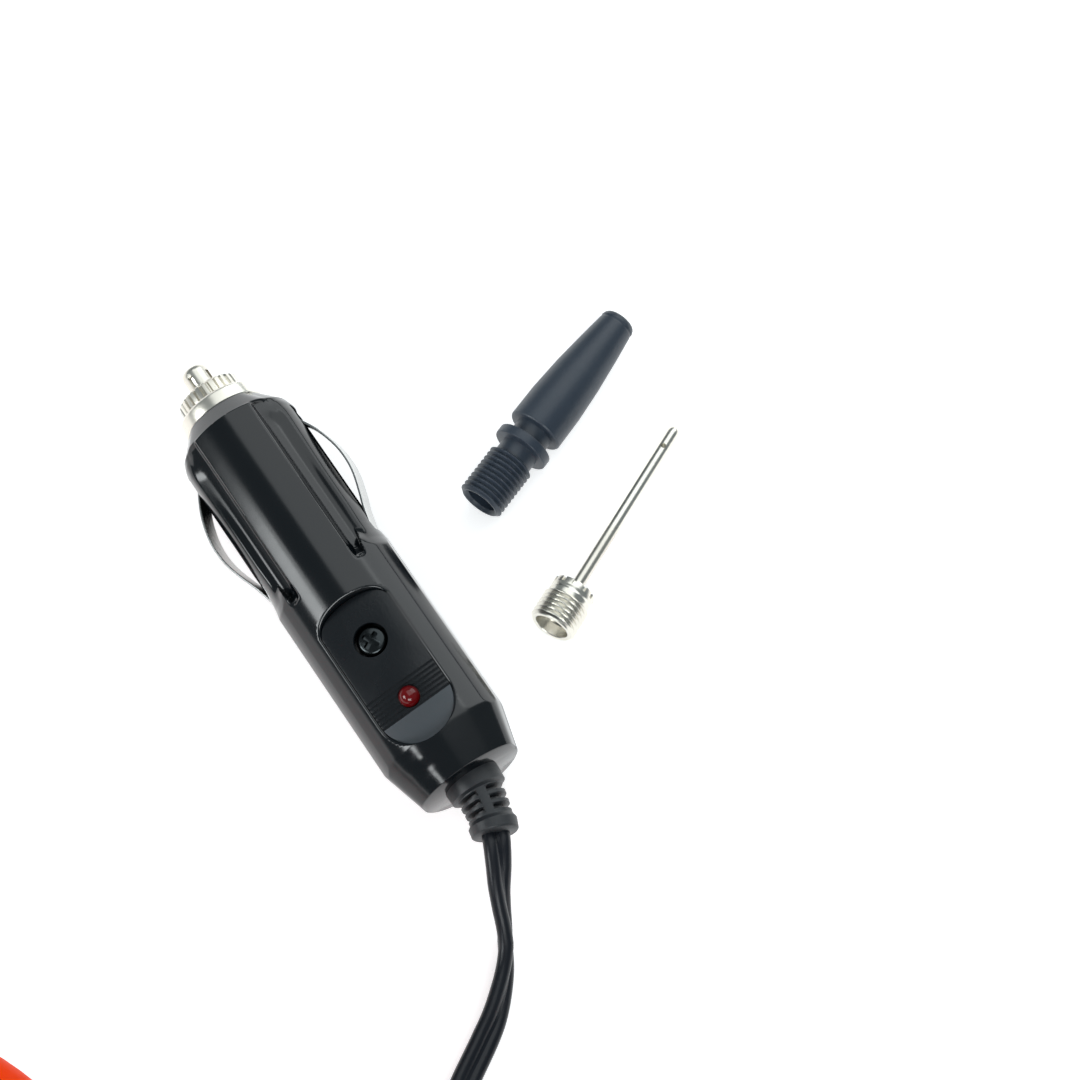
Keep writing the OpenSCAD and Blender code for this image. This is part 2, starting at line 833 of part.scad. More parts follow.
module drive_gear() {
  color("ivory") translate([0, motor_y, gear_z]) difference() {
    union() {
      along_x(gear_x, gear_x + gear_t) gear_outline(gear_teeth, 0);
      translate([0, 0, -crank_r]) rod_x(crank_pin_r, gear_x - crank_pin_len, gear_x);
    }
    rod_x(axle_r + running, -far, far);
    for (a = [60:60:300]) rotate([a, 0, 0]) translate([0, 0, -gear_r * 0.6])
      rod_x(3, gear_x - 1, gear_x + gear_t + 1);
  }
}

module gear_axle() {
  color("silver") translate([0, motor_y, gear_z]) {
    rod_x(axle_r, gear_x - 0.2, plate_x + plate_thick);
    rod_x(axle_r + 0.8, gear_x - 1.4, gear_x - 0.2);
    ring_x(axle_r + 1.5, axle_r, gear_x + gear_t + 0.2, plate_x);
  }
}

module piston_rod() {
  color("gray") translate([0, motor_y, 0]) difference() {
    union() {
      translate([cylinder_x, 0, piston_low]) cylinder(r = bore_r - 0.1, h = piston_h);
      box([rod_from, -3, gear_z - crank_r], [rod_from + rod_t, 3, piston_low + 1]);
      translate([0, 0, gear_z - crank_r]) rod_x(4.6, rod_from, rod_from + rod_t);
    }
    translate([0, 0, gear_z - crank_r]) rod_x(crank_pin_r + running, -far, far);
    translate([cylinder_x, 0, piston_low + piston_h / 2 - 0.8]) difference() {
      cylinder(r = bore_r + 1, h = 1.6);
      cylinder(r = bore_r - 1.6, h = 1.6);
    }
  }
}

module piston_seal() {
  color("black") translate([cylinder_x, motor_y, piston_low + piston_h / 2 - 0.8]) difference() {
    cylinder(r = bore_r - 0.04, h = 1.6);
    translate([0, 0, -1]) cylinder(r = bore_r - 1.6, h = 4);
  }
}

module cylinder_block() {
  tall = cylinder_top - cylinder_bottom;
  color("silver") translate([cylinder_x, motor_y, cylinder_bottom]) difference() {
    union() {
      cylinder(r = bore_r + cylinder_wall, h = tall);
      for (i = [0:fin_count - 1]) translate([0, 0, i * (tall - 1.2) / (fin_count - 1)])
        cylinder(r = fin_r, h = 1.2);
      box([0, -7, 0], [plate_x - cylinder_x, 7, tall - 4]);
    }
    translate([0, 0, -1]) cylinder(r = bore_r, h = tall + 2);
  }
}

module cylinder_head() {
  color("silver") translate([cylinder_x, motor_y, cylinder_top]) {
    difference() {
      cylinder(r = fin_r, h = head_t);
      translate([0, 0, -1]) cylinder(r = bore_r - 2, h = 2);
    }
    for (x = [-port_off, port_off]) translate([x, 0, head_t / 2])
      rod_y(pipe_r + 0.8, -fin_r - port_len, 0);
    for (x = [-1, 1], y = [-1, 1]) translate([8.5 * x, 8.5 * y, head_t]) cylinder(r = 1.6, h = 1.5);
  }
}

module outlet_pipe() {
  from = [cylinder_x - port_off, port_y, port_z];
  to = [outlet_in, 0, hose_z];
  reach = 0.3 * norm(to - from);
  color("dimgray") tube(
    bend(from, [0, -0.6 * reach, 0], to, [-reach, 0, 0]), pipe_r, [0, -1, 0], [-1, 0, 0]
  );
}

module gauge_pipe() {
  from = [cylinder_x + port_off, port_y, port_z];
  to = [0, gauge_stub, gauge_z];
  reach = 0.3 * norm(to - from);
  color("dimgray") tube(
    bend(from, [0, -reach, 0], to, [0, -reach, 0]), pipe_r, [0, -1, 0], [0, -1, 0]
  );
}

module hose_outlet() {
  color("goldenrod") translate([0, 0, hose_z]) difference() {
    union() {
      rod_x(outlet_r, outlet_face, outlet_in);
      rod_x(outlet_flange_r, outlet_face - 2, outlet_face);
      along_x(outlet_face - 7, outlet_face - 2) circle(outlet_flange_r, $fn = 6);
      rod_x(outlet_r, outlet_face - 7 - outlet_len, outlet_face - 7);
      rod_x(outlet_r + 1.6, -housing_w / 2 + wall + 0.8, -housing_w / 2 + wall + 2.8);
    }
    rod_x(1.5, -far, outlet_in - 3);
  }
}

module supply_wires() {
  from = [gland_in, 0, gland_z];
  switch_pin = [4, switch_back, switch_z];
  brush = [plate_x + plate_thick + motor_len, motor_y, motor_z - 6];
  near = [0, wire_r + 0.4, 0];
  reach = 0.4 * norm(switch_pin - from);
  color("black") {
    tube(bend(from - near, [-reach, -0.75 * reach, 0], switch_pin, [0, -0.55 * reach, 0]), wire_r,
      [-1, 0, 0], [0, -1, 0]);
    tube(bend(from + near, [-reach, 0.3 * reach, 0], brush, [-0.2 * reach, 0, 0]), wire_r,
      [-1, 0, 0], [-1, 0, 0]);
  }
}

// ---- Lead ----

// Outline of a ribbed sleeve, from x = 0 to x = long, its radius falling from wide to narrow
function ribbed(wide, narrow, long, ribs) =
  let (pitch = long / (2 * ribs + 1), deep = 0.8)
    concat([[0, 0]], [
      for (i = [0:2 * ribs], e = [0, 1])
        let (x = (i + e) * pitch)
          [wide + (narrow - wide) * x / long - (i % 2) * deep, x]
    ], [[0, long]]);

module cord_gland() {
  color("black") translate([0, 0, gland_z]) {
    rod_x(gland_hole_r - 0.1, gland_face - 4.6, gland_face);
    rod_x(gland_hole_r + 1.4, gland_in, gland_face - wall - 0.6);
    rod_x(gland_r, gland_face, gland_face + gland_flange);
    translate([gland_face + gland_flange, 0, 0]) lathe_x(ribbed(4.6, 3.2, gland_len - gland_flange, 3));
  }
}

module power_cord_tail() {
  color("black") tube(tail_path, lead_d / 2, [1, 0, 0], heading_at(coil_from));
}

module power_cord_coil() {
  color("black") tube(coil_path, lead_d / 2, heading_at(coil_from), heading_at(coil_to), 6);
}

module power_cord() {
  color("black") tube(
    free_path, lead_d / 2, [cos(relief_end_dir), sin(relief_end_dir), 0], -heading_at(coil_to)
  );
}

// A sleeve that bends: a curved core, a first block, ribs and an end collar along the same arc
module plug_strain_relief() {
  function place(s) = relief_bend * s / relief_len;
  color("black") translate(relief_base) rotate([0, 0, relief_dir]) translate([0, -relief_bend_r, 0]) {
    rotate([0, 0, 90 - relief_bend])
      rotate_extrude(angle = relief_bend) translate([relief_bend_r, 0]) circle(2.9);
    translate([0, relief_bend_r, 0]) {
      rod_x(relief_r, 0, 2.4);
      rod_x(2.2, -5, 0);
    }
    rotate([0, 0, -relief_bend]) translate([0, relief_bend_r, 0]) rod_x(relief_r - 0.8, -2, 0);
    for (i = [1:relief_ribs]) {
      s = 2.4 + i * (relief_len - 4.4) / (relief_ribs + 1);
      rotate([0, 0, -place(s)]) translate([0, relief_bend_r, 0])
        rod_x(relief_r - 0.2 - 0.15 * i, -0.45, 0.45);
    }
  }
}

// ---- Plug ----

module plug_place() {
  translate([plug_x, plug_y, plug_z]) rotate([0, 0, plug_heading - 90]) rotate([plug_roll, 0, 0]) children();
}

// Section through the grip: round below, with a flat top and slanted shoulders above
module grip_section() {
  w = grip_half_w;
  t = grip_top;
  intersection() {
    circle(w);
    translate([-far / 2, -far]) square([far, far]);
  }
  polygon([
    [-w, 0], [-w, 0.35 * t], [-0.88 * w, 0.74 * t], [-0.64 * w, t],
    [0.64 * w, t], [0.88 * w, 0.74 * t], [w, 0.35 * t], [w, 0]
  ]);
}

// The hollows on both sides of the land, seen from above
module hollow_outline() {
  near_front = land_w_front / 2;
  near_rear = land_w_rear / 2;
  far_side = near_rear + 2.9;
  hollow_end = grip_start + 2.6;
  polygon([[4, near_front], [hollow_end, near_rear], [hollow_end, far_side], [4, far_side]]);
  translate([hollow_end, (near_rear + far_side) / 2]) circle((far_side - near_rear) / 2);
}

module plug_body() {
  difference() {
    union() {
      lathe_x([
        [0, 0], [7.3, 0], [8.7, 0.6], [9.6, 1.9], [front_r, 4.4], [front_r, 24.5], [waist_r, 26.3],
        [waist_r, grip_start - 2.8], [0, grip_start - 2.8]
      ]);
      intersection() {
        along_x(grip_start - 3, body_len) grip_section();
        lathe_x([
          [0, grip_start - 3], [waist_r, grip_start - 3], [11.6, grip_start], [11.6, taper_start],
          [end_r, body_len], [0, body_len]
        ]);
      }
    }
    difference() {
      for (s = [-1, 1]) translate([0, 0, 2.6]) scale([1, s, 1]) linear_extrude(far) hollow_outline();
      rod_x(front_r - hollow_depth, -far, far);
    }
  }
}

module plate_outline(grown) {
  w = plate_half_w + grown;
  translate([plate_start - grown, -w]) square([plate_end - plate_half_w - plate_start + grown, 2 * w]);
  translate([plate_end - plate_half_w, 0]) circle(w);
}

module contact_slots() {
  for (s = [-1, 1]) box(
    [slot_from, s > 0 ? slot_in : -far, -slot_half_h], [slot_to, s > 0 ? far : -slot_in, slot_half_h]
  );
}

module plug_half(side) {
  difference() {
    intersection() {
      plug_body();
      box([-far, -far, side > 0 ? 0 : -far], [far, far, side > 0 ? far : 0]);
    }
    rod_x(spigot_r + 0.05, -1, spigot_len + 0.1);
    rod_x(chamber_r, -1, chamber_end);
    rod_x(2.3, board_to - 1, body_len + 1);
    box([board_from, -board_half_w, board_top - board_t], [board_to, board_half_w, 4.8]);
    box([board_from, 1 - board_half_w, -4.5], [board_to, board_half_w - 1, 4.8]);
    contact_slots();
    for (y = [-1, 1]) box([chamber_end - 1, y * 4 - 0.8, -0.8], [board_from + 1, y * 4 + 0.8, 0.8]);
  }
}

module plug_upper_shell() {
  color("black") plug_place() difference() {
    plug_half(1);
    translate([0, 0, plate_floor]) linear_extrude(far) plate_outline(0.1);
    translate([screw_at, 0, -1]) cylinder(r = screw_shank + 0.15, h = far);
    translate([lamp_at, 0, 0]) cylinder(r = lamp_r + 0.1, h = far);
  }
}

module plug_lower_shell() {
  color("black") plug_place() difference() {
    plug_half(-1);
    translate([screw_at, 0, -7]) cylinder(r = screw_shank + 0.05, h = far);
  }
}

module plug_collar() {
  color("silver") plug_place() difference() {
    union() {
      rod_x(collar_r, -collar_len, 0);
      rod_x(spigot_r, 0, spigot_len);
    }
    rod_x(chamber_r, -far, far);
  }
}

module plug_fuse_cap() {
  back = -collar_len - 0.05;
  front = -collar_len - cap_len;
  color("silver") plug_place() difference() {
    rod_x(cap_r, front, back);
    rod_x(pin_r + 0.25, -far, far);
    rod_x(cap_bore, front + 0.9, back + 1);
    for (i = [0:knurl_count - 1]) rotate([360 / knurl_count * i, 0, 0])
      translate([front - 1, cap_r, 0]) rotate([45, 0, 0]) cube([cap_len + 0.4, 0.5, 0.5]);
  }
}

module plug_tip_pin() {
  cap_front = -collar_len - cap_len;
  color("silver") plug_place() difference() {
    union() {
      intersection() {
        rod_x(pin_r, cap_front - pin_out, cap_front + 1);
        translate([cap_front - pin_out + 3.2, 0, 0]) sphere(3.2);
      }
      rod_x(pin_r, cap_front - pin_out + 1.6, cap_front + 1.3);
      rod_x(cap_bore - 0.4, cap_front + 1.2, cap_front + 2.2);
      rod_x(fuse_r - 0.2, cap_front + 2.1, fuse_at);
    }
    for (a = [0:90:270]) rotate([a + 20, 0, 0])
      box([cap_front - pin_out - 1, pin_r - 0.45, -0.3], [cap_front - 0.6, pin_r + 1, 0.3]);
  }
}

module plug_fuse() {
  color("lightgray") plug_place() {
    rod_x(fuse_r - 0.25, fuse_at, spring_at);
    rod_x(fuse_r, fuse_at, fuse_at + 6);
    rod_x(fuse_r, spring_at - 6, spring_at);
  }
}

// Round wire wound round the plug's axis between the fuse and the end of its chamber
module plug_spring() {
  steps = spring_turns * 8;
  pitch = (spring_len - 2 * spring_wire - 0.1) / spring_turns;
  path = [
    for (i = [0:steps])
      let (a = 45 * i)
        [spring_r * cos(a), spring_r * sin(a), spring_at + 0.05 + spring_wire + pitch * i / 8]
  ];
  color("silver") plug_place() rotate([0, 90, 0])
    tube(path, spring_wire, path[1] - path[0], path[steps] - path[steps - 1], 6);
}

// A strip bent to an arc; side is 1 on the right of the plug and -1 on the left
module contact_strip(side) {
  color("silver") plug_place() scale([1, side, 1])
    translate([strip_mid, strip_out - strip_bend_r, -strip_w / 2]) linear_extrude(strip_w) intersection() {
      difference() {
        circle(strip_bend_r, $fn = 128);
        circle(strip_bend_r - strip_t, $fn = 128);
      }
      translate([-strip_reach, 0]) square([2 * strip_reach, far]);
    }
}

module plug_contact_left() {
  contact_strip(-1);
}

module plug_contact_right() {
  contact_strip(1);
}

module plug_face_plate() {
  color("black") plug_place() difference() {
    translate([0, 0, plate_floor]) linear_extrude(plate_t) plate_outline(0);
    translate([screw_at, 0, 0]) cylinder(r = screw_recess, h = far);
    translate([lamp_at, 0, 0]) cylinder(r = lamp_r + 0.1, h = far);
    for (x = [lamp_at - 3.1:0.75:lamp_at + 1.9])
      box([x, -far, plate_floor + plate_t - 0.25], [x + 0.3, far, far]);
  }
}

module plug_screw() {
  color("dimgray") plug_place() translate([screw_at, 0, 0]) difference() {
    union() {
      translate([0, 0, -6.5]) cylinder(r = screw_shank, h = 6.5 + plate_floor);
      translate([0, 0, plate_floor]) intersection() {
        cylinder(r = screw_head, h = 1.5);
        translate([0, 0, -2.5]) sphere(3.8);
      }
    }
    for (a = [0, 90]) rotate([0, 0, a]) box([-1.3, -0.3, plate_floor + 0.5], [1.3, 0.3, plate_floor + 3]);
  }
}

module plug_lamp() {
  color("red") plug_place() translate([lamp_at, 0, 0]) {
    translate([0, 0, board_top]) cylinder(r = lamp_r, h = plate_floor + plate_t - board_top);
    translate([0, 0, plate_floor + plate_t]) intersection() {
      sphere(lamp_r);
      cylinder(r = lamp_r, h = lamp_r);
    }
  }
}

module plug_circuit_board() {
  color("darkgreen") plug_place() {
    box([board_from + 0.3, -board_half_w + 0.2, board_top - board_t],
      [board_to - 1, board_half_w - 0.2, board_top]);
    box([board_to - 4, -2, board_top - board_t - 1.6], [board_to - 1, 2, board_top - board_t]);
  }
}

// ---- Adaptors ----

// The adaptor lies along its own X from the threaded end to the tip
module nozzle_adaptor() {
  flange_at = nozzle_thread_len + neck_len;
  cone_at = flange_at + flange_t + neck_len;
  tip = cone_at + cone_len;
  color("slategray") translate([nozzle_x, nozzle_y, flange_r])
  rotate([0, 0, 90 - nozzle_heading]) difference() {
    lathe_x([
      [0, 0], [nozzle_thread_r - 0.5, 0], [nozzle_thread_r, 0.5],
      [nozzle_thread_r, nozzle_thread_len - 0.4], [neck_r, nozzle_thread_len], [neck_r, flange_at],
      [flange_r, flange_at], [flange_r, flange_at + flange_t], [neck_r, flange_at + flange_t],
      [neck_r, cone_at], [cone_r - 0.3, cone_at], [cone_r, cone_at + 0.4],
      [0.93 * cone_r, cone_at + 0.45 * cone_len], [cone_tip_r + 0.35, tip - 1.2],
      [cone_tip_r, tip - 1], [cone_tip_r, tip], [0, tip]
    ]);
    rod_x(nozzle_bore_r, -1, 6);
    rod_x(1.1, -1, far);
  }
}

module needle_place() {
  translate([needle_x, needle_y, needle_z])
  rotate([0, 0, 90 - needle_heading]) rotate([0, needle_drop, 0]) children();
}

module needle_hub() {
  color("silver") needle_place() difference() {
    lathe_x([
      [0, 0.4], [hub_r - 0.5, 0], [hub_r, 0.5], [hub_r, hub_len - 1.9], [hub_r - 0.5, hub_len - 1.5],
      [hub_r - 0.3, hub_len], [0, hub_len]
    ]);
    rod_x(needle_r, hub_len - 4, far);
    rod_x(needle_r * 0.6, -1, far);
    for (a = [0:60:300]) rotate([a, 0, 0]) box([hub_len - 0.9, hub_r - 1.1, -0.6], [far, hub_r + 1, 0.6]);
  }
}

module needle_tube() {
  end = hub_len + needle_len;
  color("silver") needle_place() difference() {
    union() {
      rod_x(needle_r, hub_len - 4, end - needle_r);
      translate([end - needle_r, 0, 0]) sphere(needle_r);
    }
    rod_x(needle_r * 0.6, 0, end - 3);
    translate([end - 4.2, 0, 0]) cylinder(r = needle_r * 0.45, h = 3);
  }
}

front_shell();
rear_shell();
rubber_sole();
front_panel();
handle();
handle_grip();
shell_screws();
gauge_can();
gauge_dial();
gauge_pointer();
gauge_lens();
gauge_bezel();
switch_frame();
rocker_switch();
motor_can();
motor_shaft();
frame_plate();
drive_gear();
gear_axle();
piston_rod();
piston_seal();
cylinder_block();
cylinder_head();
outlet_pipe();
gauge_pipe();
hose_outlet();
supply_wires();
cord_gland();
power_cord_tail();
power_cord_coil();
power_cord();
plug_strain_relief();
plug_upper_shell();
plug_lower_shell();
plug_collar();
plug_fuse_cap();
plug_tip_pin();
plug_fuse();
plug_spring();
plug_contact_left();
plug_contact_right();
plug_face_plate();
plug_screw();
plug_lamp();
plug_circuit_board();
nozzle_adaptor();
needle_hub();
needle_tube();
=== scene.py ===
"""Dresses the portable tyre inflator, its plug, lead, adaptor and ball needle.

Lengths are in millimetres inside the classes and become metres when a mesh is made.
"""
import logging
import math
from dataclasses import dataclass, field
from enum import Enum

import bmesh
import bpy
import numpy as np
from mathutils import Matrix, Vector
from mathutils.geometry import convex_hull_2d


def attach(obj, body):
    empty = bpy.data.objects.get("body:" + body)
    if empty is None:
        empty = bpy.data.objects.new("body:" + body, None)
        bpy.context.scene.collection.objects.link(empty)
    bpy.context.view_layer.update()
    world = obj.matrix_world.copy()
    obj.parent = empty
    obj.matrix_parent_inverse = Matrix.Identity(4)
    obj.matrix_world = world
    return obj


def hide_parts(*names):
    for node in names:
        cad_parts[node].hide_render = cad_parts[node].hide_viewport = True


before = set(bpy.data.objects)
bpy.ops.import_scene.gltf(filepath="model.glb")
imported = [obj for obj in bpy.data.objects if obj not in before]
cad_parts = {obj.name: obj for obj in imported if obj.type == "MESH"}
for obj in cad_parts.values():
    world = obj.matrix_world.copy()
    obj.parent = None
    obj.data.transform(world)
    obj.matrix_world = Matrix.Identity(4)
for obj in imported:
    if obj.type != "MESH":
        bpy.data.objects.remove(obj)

log = logging.getLogger("inflator")
MM = 0.001
HERE = Matrix.Scale(MM, 4)
SHARP = 35.0  # degrees above which an edge stays sharp
Rows = np.ndarray
Point = tuple[float, float, float]
Outline = list[tuple[float, float]]
Piece = bpy.types.Object


# Mesh making


class Side(Enum):
    """The two sides of the plug, by the sign of its own sideways axis."""

    LEFT = -1
    RIGHT = 1


class Ends(Enum):
    """How the ends of a loft are closed."""

    OPEN = "open"
    FLAT = "flat"


def to_row(points: Rows, place: Matrix) -> Rows:
    """Moves points from a piece's own frame to the scene's frame.

    Args:
        points: An (n, 3) array in millimetres.
        place: The piece's place, whose input is in millimetres.

    Returns:
        An (n, 3) array in metres.
    """
    m = np.array(place)
    return points @ m[:3, :3].T + m[:3, 3]


def place_at(x: float, y: float, z: float, heading: float, pitch: float = 0.0, roll: float = 0.0) -> Matrix:
    """Returns the place of a piece whose own X axis lies along a heading on the floor.

    Args:
        x: Place along X, in millimetres.
        y: Place along Y, in millimetres.
        z: Height, in millimetres.
        heading: Degrees from +X towards +Y.
        pitch: Degrees that the own X axis drops.
        roll: Degrees about the own X axis.

    Returns:
        A matrix from millimetres to metres.
    """
    turn = Matrix.Rotation(math.radians(heading), 4, "Z")
    turn = turn @ Matrix.Rotation(math.radians(pitch), 4, "Y") @ Matrix.Rotation(math.radians(roll), 4, "X")
    return Matrix.Translation((x * MM, y * MM, z * MM)) @ turn @ HERE


def full_turn(count: int) -> Rows:
    """Returns so many even angles round a circle, in radians."""
    return np.linspace(0, 2 * math.pi, count, endpoint=False)


def run_along(path: Rows) -> Rows:
    """Returns how far along a path each of its points lies."""
    return np.concatenate([[0], np.cumsum(np.linalg.norm(np.diff(path, axis=0), axis=1))])


def linked(name: str, data: bpy.types.ID) -> Piece:
    """Returns a new object that shows some data, linked to the scene."""
    made = bpy.data.objects.new(name, data)
    bpy.context.scene.collection.objects.link(made)
    return made


def new_piece(name: str, points: Rows, faces: list[tuple[int, ...]], smooth: bool = True) -> Piece:
    """Makes an object from points in metres and faces.

    Args:
        name: The object's name.
        points: An (n, 3) array in metres.
        faces: Corner numbers of each face.
        smooth: Whether its faces are shaded smooth.

    Returns:
        The new object, linked to the scene.
    """
    mesh = bpy.data.meshes.new(name)
    mesh.from_pydata([tuple(p) for p in points.tolist()], [], faces)
    mesh.validate()
    mesh.polygons.foreach_set("use_smooth", [smooth] * len(mesh.polygons))
    return linked(name, mesh)


def loft(name: str, rings: Rows, place: Matrix, ends: Ends = Ends.FLAT, sharp: float = SHARP) -> Piece:
    """Skins a row of rings of points.

    Args:
        name: The object's name.
        rings: An (n, m, 3) array in millimetres.
        place: The piece's place.
        ends: How the first and last ring are closed.
        sharp: The angle above which an edge stays sharp, in degrees.

    Returns:
        The new object.
    """
    n, m = rings.shape[:2]
    i, k = np.meshgrid(np.arange(n - 1), np.arange(m), indexing="ij")
    a, b = i * m + k, i * m + (k + 1) % m
    faces = np.stack([a, b, b + m, a + m], axis=-1).reshape(-1, 4).tolist()
    if ends is Ends.FLAT:
        faces.append(list(range(m))[::-1])
        faces.append(list(range((n - 1) * m, n * m)))
    piece = new_piece(name, to_row(rings.reshape(-1, 3), place), faces)
    keep_sharp(piece, sharp)
    return piece


def keep_sharp(piece: Piece, angle: float) -> None:
    """Marks edges that are sharper than an angle in degrees, and turns the faces outwards."""
    shape = bmesh.new()
    shape.from_mesh(piece.data)
    bmesh.ops.recalc_face_normals(shape, faces=shape.faces)
    limit = math.radians(angle)
    for edge in shape.edges:
        edge.smooth = len(edge.link_faces) == 2 and edge.calc_face_angle(0.0) < limit
    shape.to_mesh(piece.data)
    shape.free()


def lathe(name: str, outline: Outline, place: Matrix, sides: int = 96, sharp: float = SHARP) -> Piece:
    """Turns an outline of (place along X, radius) round the piece's own X axis.

    Args:
        name: The object's name.
        outline: The points, in millimetres; a closed outline ends where it begins.
        place: The piece's place.
        sides: Points round the axis.
        sharp: The angle above which an edge stays sharp, in degrees.

    Returns:
        The new object.
    """
    closed = outline[0] == outline[-1]
    rings = np.array([
        [(x, r * math.cos(t), r * math.sin(t)) for t in full_turn(sides)] for x, r in outline
    ])
    return loft(name, rings, place, Ends.OPEN if closed else Ends.FLAT, sharp)


def eased(outline: Outline, size: float, steps: int = 3) -> Outline:
    """Rounds the corners of an outline.

    Args:
        outline: Its points; the first and last stay as they are.
        size: How far from each corner the rounding starts.
        steps: Points added at each corner.

    Returns:
        The rounded outline.
    """
    made = [outline[0]]
    for before, here, after in zip(outline, outline[1:], outline[2:]):
        p, q, r = (np.array(v, float) for v in (before, here, after))
        near = min(size, 0.45 * np.linalg.norm(p - q), 0.45 * np.linalg.norm(r - q))
        a = q + (p - q) / max(np.linalg.norm(p - q), 1e-9) * near
        b = q + (r - q) / max(np.linalg.norm(r - q), 1e-9) * near
        for t in np.linspace(0, 1, steps + 1):
            made.append(tuple((1 - t) ** 2 * a + 2 * t * (1 - t) * q + t * t * b))
    return made + [outline[-1]]


def bevel(piece: Piece, width: float, segments: int, rims_only: bool = False) -> None:
    """Bevels the edges of a mesh.

    Args:
        piece: The piece.
        width: Width of the bevel, in millimetres.
        segments: Steps of the bevel.
        rims_only: Whether only the edges round faces of more than 4 corners are bevelled.
    """
    shape = bmesh.new()
    shape.from_mesh(piece.data)
    edges = [e for e in shape.edges if not rims_only or any(len(f.verts) > 4 for f in e.link_faces)]
    bmesh.ops.bevel(shape, geom=edges, offset=width * MM, segments=segments, affect="EDGES", profile=0.5)
    shape.to_mesh(piece.data)
    shape.free()


def prism(name: str, outline: Rows, low: float, high: float, place: Matrix, ease: float = 0.0) -> Piece:
    """Raises a flat outline into a block, with its edges eased.

    Args:
        name: The object's name.
        outline: An (n, 2) array in the piece's own X and Y, in millimetres.
        low: Height of its underside.
        high: Height of its top.
        place: The piece's place.
        ease: Width of the bevel on its edges.

    Returns:
        The new object.
    """
    n = len(outline)
    flat = [np.column_stack([outline, np.full(n, z)]) for z in (low, high)]
    faces = [[k, (k + 1) % n, (k + 1) % n + n, k + n] for k in range(n)]
    faces += [list(range(n))[::-1], list(range(n, 2 * n))]
    piece = new_piece(name, to_row(np.vstack(flat), place), faces)
    if ease:
        bevel(piece, ease, 3, rims_only=True)
    keep_sharp(piece, SHARP)
    return piece


def block(name: str, low: Point, high: Point, place: Matrix, ease: float = 0.15) -> Piece:
    """Returns a box between two corners of the piece's own frame, its edges eased."""
    outline = np.array([(low[0], low[1]), (high[0], low[1]), (high[0], high[1]), (low[0], high[1])])
    piece = prism(name, outline, low[2], high[2], place)
    bevel(piece, ease, 2)
    keep_sharp(piece, SHARP)
    return piece


def cut(piece: Piece, *tools: Piece, sharp: float = SHARP) -> Piece:
    """Takes tools away from a piece and removes them.

    Args:
        piece: The piece that is cut.
        *tools: Closed meshes.
        sharp: The angle above which an edge stays sharp, in degrees.

    Returns:
        The same piece.
    """
    for tool in tools:
        modifier = piece.modifiers.new("cut", "BOOLEAN")
        modifier.operation, modifier.object, modifier.solver = "DIFFERENCE", tool, "EXACT"
    graph = bpy.context.evaluated_depsgraph_get()
    made = bpy.data.meshes.new_from_object(piece.evaluated_get(graph))
    piece.modifiers.clear()
    piece.data = made
    for tool in tools:
        bpy.data.objects.remove(tool)
    made.polygons.foreach_set("use_smooth", [True] * len(made.polygons))
    keep_sharp(piece, sharp)
    return piece


def ease_step(x: Rows, low: float, high: float) -> Rows:
    """Returns 0 below low, 1 above high and a smooth rise between them."""
    t = np.clip((x - low) / (high - low), 0, 1)
    return t * t * (3 - 2 * t)


def soft_above(x: Rows, bend: float) -> Rows:
    """Returns x above 0 and 0 below it, with a soft turn that is tighter the higher bend is."""
    return np.logaddexp(0, bend * x) / bend


def frames_along(path: Rows) -> tuple[Rows, Rows]:
    """Returns the sideways and the upper direction at each point of a path.

    Args:
        path: An (n, 3) array.

    Returns:
        Two (n, 3) arrays of unit vectors.
    """
    ahead = np.gradient(path, axis=0)
    ahead /= np.linalg.norm(ahead, axis=1)[:, None]
    side = np.cross(ahead, np.array([0.0, 0.0, 1.0]))
    side /= np.linalg.norm(side, axis=1)[:, None]
    return side, np.cross(side, ahead)


def swept(name: str, path: Rows, section: Rows, turns: Rows, place: Matrix = HERE) -> Piece:
    """Sweeps a closed section along a path.

    Args:
        name: The object's name.
        path: An (n, 3) array in millimetres.
        section: An (m, 2) array of points, sideways and upwards.
        turns: The angle in degrees that the section turns by at each point.
        place: The piece's place.

    Returns:
        The new object.
    """
    side, upper = frames_along(path)
    a = np.radians(turns)[:, None]
    x, y = section[None, :, 0], section[None, :, 1]
    p, q = x * np.cos(a) - y * np.sin(a), x * np.sin(a) + y * np.cos(a)
    rings = path[:, None] + p[..., None] * side[:, None] + q[..., None] * upper[:, None]
    return loft(name, rings, place)


def rounded_path(points: Rows, step: float) -> Rows:
    """Returns a smooth curve through points, with a point about every step.

    Args:
        points: An (n, 3) array.
        step: The distance between the new points.

    Returns:
        The points of the curve, the first and last being those given.
    """
    ext = np.vstack([2 * points[0] - points[1], points, 2 * points[-1] - points[-2]])
    made = []
    for k in range(1, len(ext) - 2):
        p0, p1, p2, p3 = ext[k - 1 : k + 3]
        count = max(2, round(float(np.linalg.norm(p2 - p1)) / step))
        t = np.linspace(0, 1, count, endpoint=False)[:, None]
        square, cube = 2 * p0 - 5 * p1 + 4 * p2 - p3, 3 * p1 - p0 - 3 * p2 + p3
        made.append(0.5 * (2 * p1 + (p2 - p0) * t + square * t**2 + cube * t**3))
    return np.vstack([*made, points[-1:]])


def bend(a: Rows, u: Rows, b: Rows, v: Rows, steps: int) -> Rows:
    """Returns a curve from a to b that leaves a along u and reaches b along v."""
    t = np.linspace(0, 1, steps + 1)[:, None]
    s = 1 - t
    return s**3 * a + 3 * s * s * t * (a + u) + 3 * s * t * t * (b - v) + t**3 * b


# Finishes


